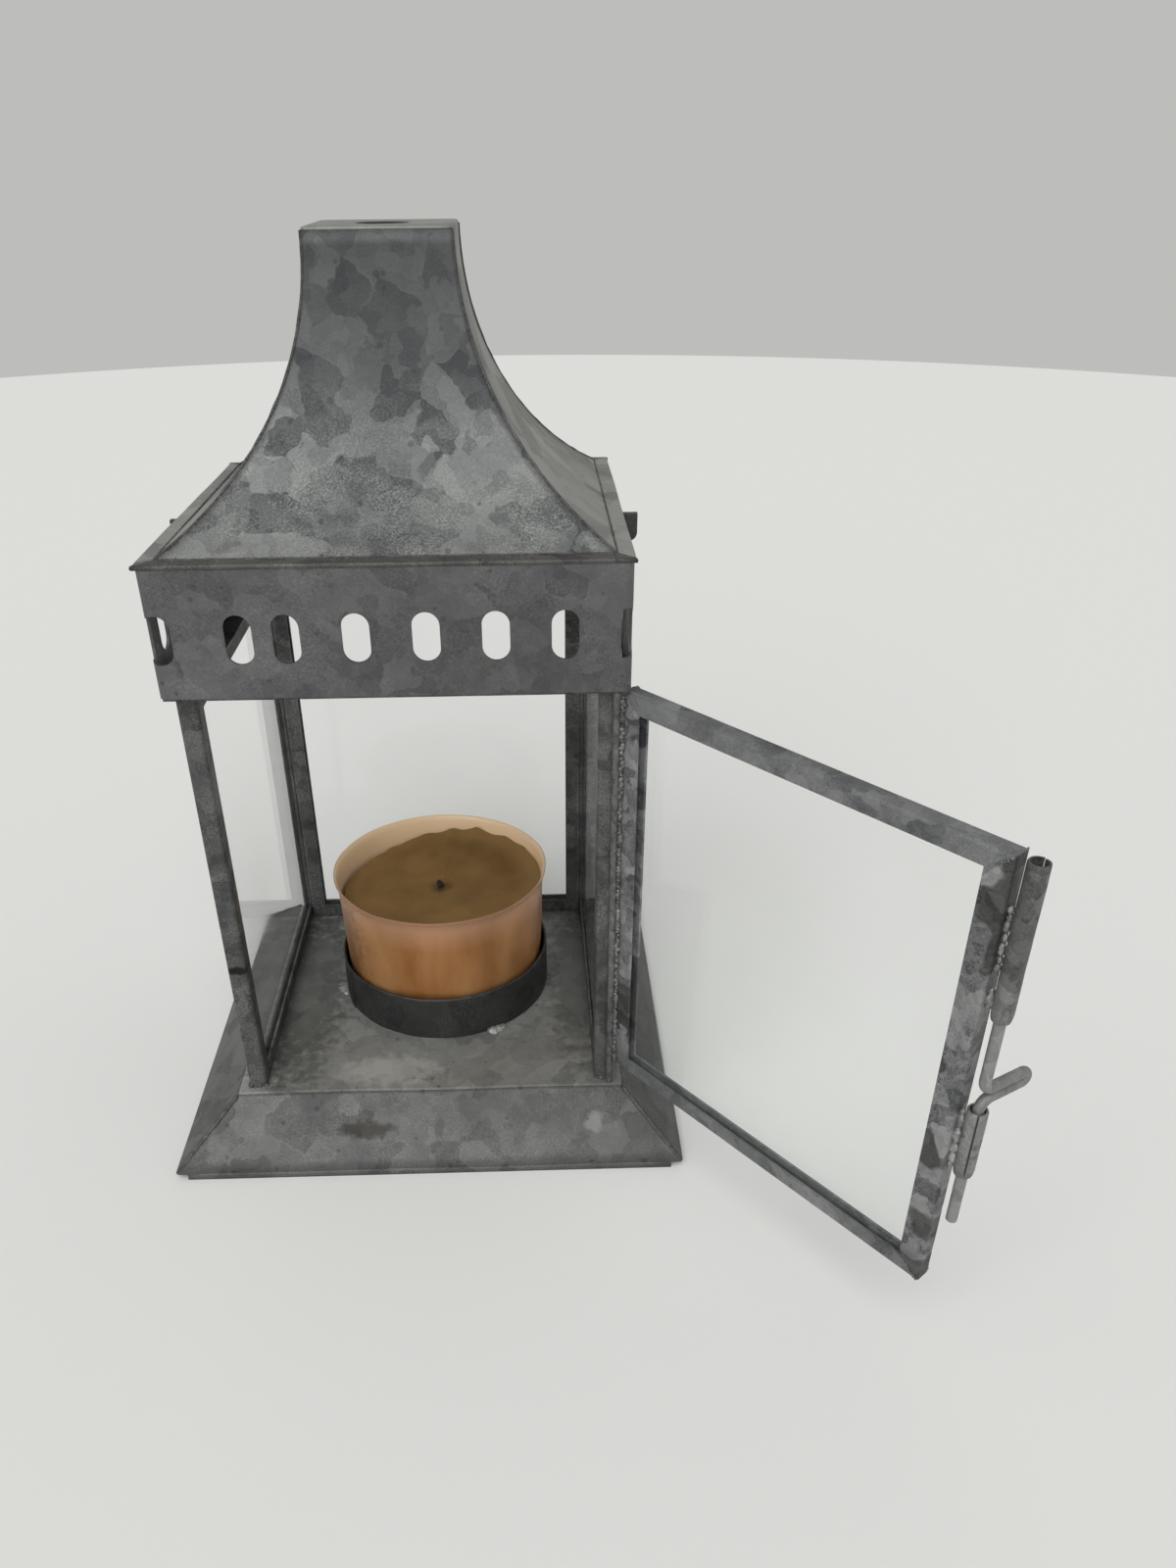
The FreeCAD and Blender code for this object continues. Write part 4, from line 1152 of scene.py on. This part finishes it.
# The side panels get a lighter copy of the roof's zinc: painted light where they face the light.
side_zinc_painted_light = zinc_material("roof_side_zinc", (0.145, 0.145, 0.138), (0.35, 0.347, 0.333), Bloom=0.3,
                          Crystals_per_Metre=120.0, Pits=0.2, Grime=0.12)
for side, node_name in enumerate(("roof_front", "roof_right", "roof_back", "roof_left")):
    lies_over = side in (0, 2)
    panel_form = bmesh.new()
    side_grid(panel_form, side, arc_rings + hem_rings, panel_columns,
              ridge_overhang if lies_over else ridge_retreat)
    panel_mesh = plain_mesh(node_name + "_panel", panel_form)
    hand_bend(panel_mesh)
    smooth(panel_mesh, 40.0)
    panel = settle(node_name + "_panel", panel_mesh, "lantern")
    wall_of(panel, sheet)
    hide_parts(node_name)
    lay_material(panel, roof_zinc if lies_over else side_zinc_painted_light)
    panel.data.materials.append(hem_zinc_painted_shade if lies_over else side_zinc_painted_light)
    for face in panel.data.polygons:
        face.material_index = int(face.center.z < hem_top + 0.05 * MM)

# Solder of the roof: a thin dark run down each ridge. The thinner dark run along each crease above the hem is
# painted shade in the fold.
ridge_form = bmesh.new()
for number, (x_side, y_side) in enumerate(corner_signs):
    ridge = [Vector((x_side * (half_x - 0.02 * MM), y_side * (half_y - 0.12 * MM), z))
             for half_x, half_y, z in arc_rings]
    solder_run(ridge_form, ridge, 0.22 * MM, 20 + number)
# painted shade: a thin dark run lies in each crease above the hem, where the sheet bends
for side in range(4):
    crease = [Vector(side_point(side, 2 * step / crease_steps - 1, arc_foot[0] + 0.1 * MM,
                                arc_foot[1] + 0.1 * MM, hem_top - 0.02 * MM))
              for step in range(crease_steps + 1)]
    solder_run(ridge_form, crease, 0.16 * MM, 30 + side)
hip_solder_and_crease_shade = settle("roof_ridge_solder_and_crease_shade", solid_mesh("roof_ridge_solder_and_crease_shade", ridge_form, 60.0), "lantern")
lay_material(hip_solder_and_crease_shade, dark_solder_and_crease_shade)

# Chimney cap: a flat plate with folded edges soldered on the top of the roof, with a round vent cut in it.
# The vent was cut by hand, so its edge is not quite round.
vent_radius = 3.55 * MM
cap_sheet = 0.35 * MM
cap_points = 96
cap_profile = ((0.0, 0, 0.16), (0.0, 0, 0.04), (0.04, 0, 0.0), (0.35, 0, 0.05), (0.7, 0, 0.03),
               (1.0, 0.35, 0.0), (1.0, 0.1, 0.09), (1.0, 0.0, 0.28), (1.0, 0.0, 0.4))
cap_form = bmesh.new()
cap_rings = []
for outward, inset, drop in cap_profile:
    ring = []
    for turn in range(cap_points):
        angle = math.tau * (turn + 0.5) / cap_points
        across, along = math.cos(angle), math.sin(angle)
        ragged = vent_radius * (1 + 0.035 * noise.noise((across * 2, along * 2, 7.0)))
        quarter = max(abs(across), abs(along))
        x = ragged * across * (1 - outward) + across / quarter * (cap_high[0] - inset * MM) * outward
        y = ragged * along * (1 - outward) + along / quarter * (cap_high[1] - inset * MM) * outward
        ring.append(cap_form.verts.new((x, y, cap_high[2] - drop * MM)))
    cap_rings.append(ring)
for inner_ring, outer_ring in zip(cap_rings, cap_rings[1:]):
    for turn in range(cap_points):
        after = (turn + 1) % cap_points
        cap_form.faces.new((inner_ring[turn], outer_ring[turn], outer_ring[after], inner_ring[after]))
cap_mesh = plain_mesh("chimney_cap_plate", cap_form)
smooth(cap_mesh, 50.0)
cap_piece = settle("chimney_cap_plate", cap_mesh, "lantern")
wall_of(cap_piece, cap_sheet)
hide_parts("chimney_cap")
# The cap takes the lighter copy of the roof's zinc: painted light on its upward face.
lay_material(cap_piece, side_zinc_painted_light)
